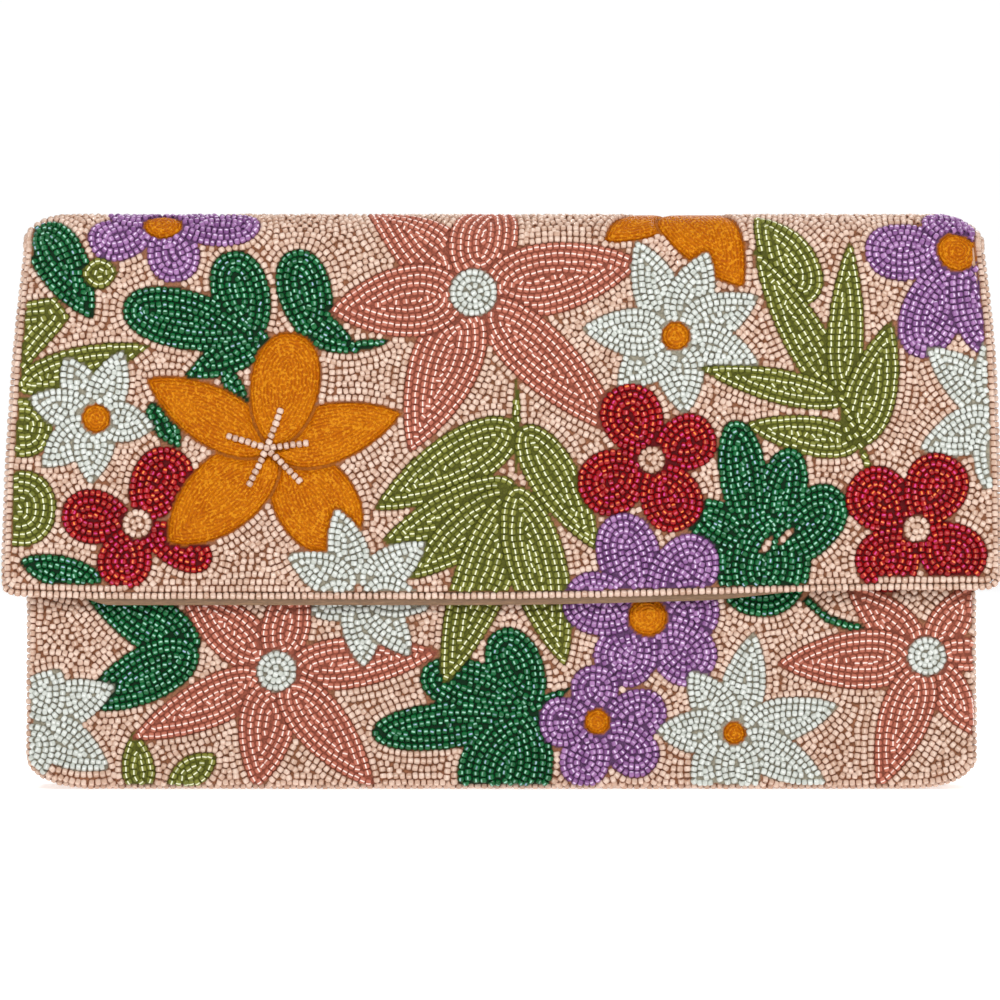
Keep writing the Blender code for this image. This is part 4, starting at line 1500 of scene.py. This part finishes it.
class PURSE_OT_edge_row(bpy.types.Operator):
    """Sew the straight row of beads along the flap's lower edge"""

    bl_idname = "purse.edge_row"
    bl_label = "Edge Row"

    def execute(self, context):
        rng = np.random.default_rng(settings("beads").seed + 4)
        _, pitch, _, half = bead("peach")
        line = flap_border(0.0, FOLD_END, 0.8)
        steps = np.r_[0, np.cumsum(np.hypot(*np.diff(line, axis=0).T))]
        s = np.arange(0.5, steps[-1], pitch * 1.02)
        u, h = np.interp(s, steps, line[:, 0]), np.interp(s, steps, line[:, 1])
        tu, th = (np.interp(s, steps, np.gradient(line[:, k], steps)) for k in (0, 1))
        kinds = fold_kind(h)
        for kind in ("flap", "fold_front", "fold_back"):
            some = kinds == kind
            at, along, out = frames(flap_lie, u[some], h[some], tu[some], th[some], 1.0)
            thing = bead_mesh(
                f"{kind}_edge_beads", at, along, out, settings("beads").edge_radius * MM, half, rng
            )
            thing.data.materials.append(bead_look("peach"))
            attach_kind(thing, kind)
            if kind == "flap":
                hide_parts("flap_edge_row")
        return {"FINISHED"}


def flap_turn(x):
    """The lower edge of the flap's satin. It shows below the edge row only in the middle."""
    shown = smooth((x + 113) / 9) * smooth((86 - x) / 34)
    end = np.clip((np.abs(x) - (FLAP_HALF - 8.0)) / 6.5, 0, 1)
    return flap_edge(x) + 2.0 * (1 - shown) + 6.0 * (1 - np.sqrt(1 - end**2))


def panel_cloth(
    name, panel, depth, half, low, high, material, attach, nodes, rng, pucker=0.0,
):
    """A cloth layer of one panel. half may be a function of height, and low one of x."""
    rows, columns = 60, 110
    t = np.linspace(0, 1, rows)[:, None]
    s = np.linspace(-1, 1, columns)[None]
    start = low(s * (FLAP_HALF - 2)) if callable(low) else low
    z = start + (high - start) * t + 0 * s
    x = s * (half(z) if callable(half) else half) + 0 * z
    calm = np.clip(np.minimum((1 - np.abs(s)) * 6, np.minimum(t, 1 - t) * 8), 0, 1)
    lift = puckers(x, z, rng, pucker) * calm if pucker else 0.0
    points = panel.place(x, z, depth - lift)
    if panel.side > 0 or depth < 3:
        points = pinch(points)
    thing = surface(name, points, settings("cloth").satin, material)
    attach(thing)
    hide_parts(*nodes)
    return thing


class PURSE_OT_backing(bpy.types.Operator):
    """Lay the backing satin that the beads are sewn to"""

    bl_idname = "purse.backing"
    bl_label = "Backing Satin"

    def execute(self, context):
        rng = np.random.default_rng(settings("beads").seed + 5)
        satin = satin_look("backing")
        panel_cloth(
            "flap_backing", FACE, SATIN_DEPTH, lambda z: flap_half(z) - 1.6, flap_turn, FOLD_START - 0.05,
            satin, lambda t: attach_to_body(t, "flap"), ["flap_satin"], rng,
        )
        panel_cloth(
            "front_backing", FACE, FRONT_DEPTH + SATIN_DEPTH, BODY_HALF - 4.2, FOOT + 1.0, MOUTH, satin,
            lambda t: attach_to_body(t, "front"), ["front_satin"], rng, pucker=0.06,
        )
        panel_cloth(
            "back_backing", BACK, SATIN_DEPTH, BODY_HALF - 3.0, FOOT + 1.0, BACK.touch[2], satin,
            lambda t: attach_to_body(t, "bag"), ["back_satin"], rng
        )
        for kind, start, end in FOLD_HALVES:
            h = np.linspace(start, end, 9)[:, None]
            x = np.linspace(-FOLD_CLOTH_HALF, FOLD_CLOTH_HALF, 90)[None]
            thing = surface(
                f"{kind}_backing", flap_point(x, h, SATIN_DEPTH), settings("cloth").satin, satin
            )
            attach_kind(baked(thing), kind)
            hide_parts("fold_satin")
        return {"FINISHED"}


class PURSE_OT_lining(bpy.types.Operator):
    """Lay the satin lining of the panels, the fold and the base"""

    bl_idname = "purse.lining"
    bl_label = "Lining"

    def execute(self, context):
        rng = np.random.default_rng(settings("beads").seed + 6)
        satin = satin_look("lining", 0.32)
        panel_cloth(
            "flap_inner_lining", FACE, FLAP_LINING_DEPTH, lambda z: flap_half(z) - 1.9,
            lambda x: flap_turn(x) + 0.4, FOLD_START - 0.05, satin, lambda t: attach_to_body(t, "flap"),
            ["flap_lining"], rng, pucker=0.10
        )
        panel_cloth(
            "front_inner_lining", FACE, FRONT_DEPTH + LINING_DEPTH, BODY_HALF - 3.4, FOOT + 2.4, MOUTH,
            satin, lambda t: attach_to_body(t, "front"), ["front_lining"], rng, pucker=0.12,
        )
        panel_cloth(
            "back_inner_lining", BACK, LINING_DEPTH, BODY_HALF - 3.4, FOOT + 4.4, BACK.touch[2], satin,
            lambda t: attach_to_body(t, "bag"), ["back_lining"], rng, pucker=0.12,
        )
        for kind, start, end in FOLD_HALVES:
            h = np.linspace(start, end, 9)[:, None]
            x = np.linspace(-FOLD_CLOTH_HALF, FOLD_CLOTH_HALF, 90)[None]
            thing = surface(
                f"{kind}_inner_lining", flap_point(x, h, LINING_DEPTH), settings("cloth").satin, satin
            )
            attach_kind(baked(thing), kind)
            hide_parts("fold_lining")
        y0, y1 = FACE.place(0.0, 6.0, FRONT_DEPTH + STACK)[1], BACK.place(0.0, 6.0, STACK)[1]
        y = np.linspace(y0 + 0.6, y1 - 0.4, 14)[:, None]
        x = np.linspace(-111, 111, 90)[None]
        z = 4.9 + 0.35 * np.cos(y / 9.0) + puckers(x, y, rng, 0.1)
        points = np.stack(np.broadcast_arrays(x, y, z), -1)
        thing = surface("base_inner_lining", points, settings("cloth").satin, satin)
        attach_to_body(thing, "bag")
        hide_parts("base_lining")
        return {"FINISHED"}


class PURSE_OT_gussets(bpy.types.Operator):
    """Close the two sides with creased satin"""

    bl_idname = "purse.gussets"
    bl_label = "Side Gussets"

    def execute(self, context):
        satin = satin_look("backing")
        a, b = CORNER[0] - 4.6, CORNER[1] - 4.6
        cx, cz = BODY_HALF - CORNER[0], CORNER[1]
        path = [(cx + a * math.sin(t), cz - b * math.cos(t)) for t in np.linspace(0.2, math.pi / 2, 10)]
        path += [(BODY_HALF - 4.6, z) for z in np.linspace(14, 128, 40)]
        path = np.array(path)
        rise = np.r_[0, np.cumsum(np.hypot(*np.diff(path, axis=0).T))]
        share = rise / rise[-1]
        inward = np.gradient(path, axis=0)
        inward = np.stack([-inward[:, 1], inward[:, 0]], 1) / np.hypot(*inward.T)[:, None]
        for side, name in ((-1, "left"), (1, "right")):
            across = np.linspace(0, 1, 25)
            front = FACE.place(0.0, path[:, 1], FRONT_DEPTH + STACK + 0.45)[:, 1]
            back = BACK.place(0.0, path[:, 1], STACK + 0.45)[:, 1]
            fold = 1.2 + (settings("cloth").gusset_fold * MM - 1.2) * share**0.8
            dip = 1 - np.abs(2 * across - 1) ** 1.25
            soft = 0.35 * np.sin(rise / 5.2 + side)[:, None] * np.sin(across * 2 * math.pi)[None]
            depth = fold[:, None] * dip[None] + soft * share[:, None]
            xz = path[:, None] + inward[:, None] * depth[..., None]
            y = front[:, None] + (back - front)[:, None] * across[None]
            points = np.stack([side * xz[..., 0], y, xz[..., 1]], -1)
            thing = surface(f"side_gusset_{name}", points, settings("cloth").gusset, satin)
            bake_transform(baked(thing))
            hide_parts(f"gusset_{name}")
        return {"FINISHED"}


class PURSE_OT_pocket(bpy.types.Operator):
    """Sew the slip pocket to the back lining, with its bound edge"""

    bl_idname = "purse.pocket"
    bl_label = "Slip Pocket"

    def execute(self, context):
        rng = np.random.default_rng(settings("beads").seed + 7)
        low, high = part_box("slip_pocket")
        half, z0, z1 = high.x * MM, low.z * MM, high.z * MM
        s, t = np.linspace(-1, 1, 80)[None], np.linspace(0, 1, 44)[:, None]
        x, z = np.broadcast_arrays(s * half, z0 + (z1 - z0) * t)
        corner = np.clip((np.abs(s) - 0.9) / 0.1, 0, 1) ** 2 * 3.0
        z = z + corner * (1 - t)
        bulge = 0.9 * np.sin(
            math.pi * np.clip((1 - np.abs(s)) * 2.5, 0, 1) / 2
        ) * np.clip(t * 3, 0, 1) * t**0.6
        points = BACK.place(
            x, z, STACK + 0.35 + bulge + puckers(x, z, rng, 0.10) * np.clip((1 - np.abs(s)) * 5, 0, 1)
        )
        thing = surface("inner_slip_pocket", points, settings("cloth").satin, satin_look("lining", 0.32))
        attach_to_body(thing, "bag")
        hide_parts("slip_pocket")
        top = z1 + 0.2
        ring = np.linspace(-0.35 * math.pi, 1.35 * math.pi, 14)
        rows = []
        for a in ring:
            rows.append(
                BACK.place(
                    x[-1], top - 2.0 + 2.1 * np.sin(a) + 0 * x[-1],
                    STACK + 0.35 + bulge[-1] + 0.55 * np.cos(a)
                )
            )
        tape = surface(
            "inner_pocket_binding", np.stack(rows, 0), settings("cloth").tape, satin_look("binding")
        )
        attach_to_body(tape, "bag")
        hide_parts("pocket_binding")
        return {"FINISHED"}


class PURSE_OT_mouth(bpy.types.Operator):
    """Bind the top edge of the front panel"""

    bl_idname = "purse.mouth"
    bl_label = "Mouth Binding"

    def execute(self, context):
        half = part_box("mouth_binding")[1].x * MM
        outer, inner = FRONT_DEPTH + 2.1, FRONT_DEPTH + STACK + 0.35
        x = np.linspace(-half, half, 120)
        rows = []
        middle, reach = (outer + inner) / 2, (inner - outer) / 2 + 0.15
        wave = 0.10 * np.sin(x / 2.9) + 0.06 * np.sin(x / 1.7 + 1)
        for z in np.linspace(MOUTH - 4.2, MOUTH - 0.6, 5):
            rows.append(FACE.place(x, z + 0.4 * wave, middle - reach + 0.1 * wave))
        for a in np.linspace(0, math.pi, 9)[1:-1]:
            rows.append(
                FACE.place(x, MOUTH - 0.4 + 1.1 * np.sin(a) + 0.3 * wave, middle - reach * np.cos(a))
            )
        for z in np.linspace(MOUTH - 0.6, MOUTH - 4.2, 5):
            rows.append(FACE.place(x, z + 0.4 * wave, middle + reach + 0.1 * wave))
        thing = surface("mouth_tape", np.stack(rows, 0), settings("cloth").satin, satin_look("binding"))
        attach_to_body(thing, "front")
        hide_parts("mouth_binding")
        return {"FINISHED"}


class PURSE_OT_hard_parts(bpy.types.Operator):
    """Give the card and the snap their finishes"""

    bl_idname = "purse.hard_parts"
    bl_label = "Card and Snap"

    def execute(self, context):
        plating = metal_look("snap_plating_look", *shades("plating"), 0.24)
        steel = metal_look("snap_plate_look", tone(150, 150, 152), tone(190, 190, 192), 0.34)
        finishes = {
            "front_board": card_look(),
            "back_board": card_look(),
            "base_board": card_look(),
            "flap_board": card_look(),
            "snap_stud": plating,
            "snap_socket_case": plating,
            "snap_magnet": magnet_look(),
            "snap_socket_plate": steel,
            "snap_stud_plate": steel,
        }
        for name, material in finishes.items():
            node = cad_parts[name]
            if node.material_slots:
                node.material_slots[0].link = "OBJECT"
                node.material_slots[0].material = material
            else:
                node.data.materials.append(material)
        return {"FINISHED"}


class PURSE_OT_stage(bpy.types.Operator):
    """Set the pale floor, the lights and the camera"""

    bl_idname = "purse.stage"
    bl_label = "Stage"

    def execute(self, context):
        scene, stage = context.scene, settings("stage")
        look = Look("pale_floor_look", 0.6, Emission_Color=(1, 1, 1, 1), Emission_Strength=0.56)
        soft = look.add("TexNoise", {"Scale": 3.0, "Detail": 2.0}).outputs[0]
        look.set("Base Color", look.mix(look.ease(soft, 0.4, 0.6), (0.90, 0.90, 0.90), (0.93, 0.93, 0.93)))
        x, y = np.meshgrid(np.linspace(-3000, 3000, 5), np.linspace(-3000, 3000, 5))
        surface("floor", np.stack([x, y, 0 * x - 0.02], -1), 0.0, look.material)
        # A pale dome that only the camera sees.
        pale = Look(
            "dome_look", 1.0, Base_Color=(0, 0, 0, 1), Emission_Color=(1, 1, 1, 1), Emission_Strength=1.0
        )
        turn, rise = np.meshgrid(np.linspace(0, 2 * math.pi, 33), np.linspace(-0.2, math.pi / 2, 12))
        round_ = np.stack([np.cos(rise) * np.cos(turn), np.cos(rise) * np.sin(turn), np.sin(rise)], -1)
        dome = surface("dome", round_ * 2900, 0.0, pale.material)
        dome.visible_diffuse = dome.visible_glossy = dome.visible_shadow = dome.visible_transmission = False
        world = bpy.data.worlds.new("studio")
        scene.world = world
        world.use_nodes = True
        ground = world.node_tree.nodes["Background"]
        ground.inputs[0].default_value = (1, 1, 1, 1)
        ground.inputs[1].default_value = stage.sky
        middle = Vector((0, 0, 0.08))
        for name, place, width in (
            ("key", (-0.45, -1.1, 1.05), 0.20),
            ("fill", (0.75, -1.0, 0.75), 0.40),
            ("top", (0.0, 0.25, 1.4), 0.8),
            ("back", (0.3, 1.3, 0.9), 0.7),
        ):
            light = bpy.data.lights.new(name, "AREA")
            light.energy, light.size = getattr(stage, name), width
            lamp = bpy.data.objects.new(name, light)
            scene.collection.objects.link(lamp)
            lamp.location = place
            lamp.rotation_euler = (middle - Vector(place)).to_track_quat("-Z", "Y").to_euler()
        camera = bpy.data.cameras.new("camera")
        camera.lens, camera.sensor_width = stage.lens, 36
        eye = bpy.data.objects.new("camera", camera)
        scene.collection.objects.link(eye)
        distance = stage.width / 36 * stage.lens
        eye.location = (-0.0004, -0.0155 - distance, 0.0772 + 0.014)
        eye.rotation_euler = (math.pi / 2 - math.atan(0.014 / distance), 0, 0)
        camera.clip_start, camera.clip_end = 0.05, 20
        scene.camera = eye
        scene.view_settings.view_transform = "Standard"
        return {"FINISHED"}


STEPS = (
    PURSE_OT_stage,
    PURSE_OT_flap_beads,
    PURSE_OT_front_beads,
    PURSE_OT_back_beads,
    PURSE_OT_base_beads,
    PURSE_OT_edge_row,
    PURSE_OT_backing,
    PURSE_OT_lining,
    PURSE_OT_gussets,
    PURSE_OT_pocket,
    PURSE_OT_mouth,
    PURSE_OT_hard_parts,
)


class PURSE_PT_panel(bpy.types.Panel):
    """The steps of making the purse"""

    bl_idname = "PURSE_PT_panel"
    bl_label = "Beaded Clutch Purse"
    bl_space_type = "VIEW_3D"
    bl_region_type = "UI"
    bl_category = "Purse"

    def draw(self, context):
        column = self.layout.column()
        for step in STEPS:
            column.operator(step.bl_idname)
        for name, group in GROUPS.items():
            box = self.layout.box()
            box.label(text=group.__doc__)
            for key in group.__annotations__:
                box.prop(getattr(context.scene, name), key)


def register():
    for name, group in GROUPS.items():
        bpy.utils.register_class(group)
        setattr(bpy.types.Scene, name, bpy.props.PointerProperty(type=group))
    for step in STEPS:
        bpy.utils.register_class(step)
    bpy.utils.register_class(PURSE_PT_panel)


def unregister():
    bpy.utils.unregister_class(PURSE_PT_panel)
    for step in reversed(STEPS):
        bpy.utils.unregister_class(step)
    for name, group in reversed(GROUPS.items()):
        delattr(bpy.types.Scene, name)
        bpy.utils.unregister_class(group)


def main():
    register()
    for step in STEPS:
        group, name = step.bl_idname.split(".")
        getattr(getattr(bpy.ops, group), name)()


if __name__ == "__main__":
    main()
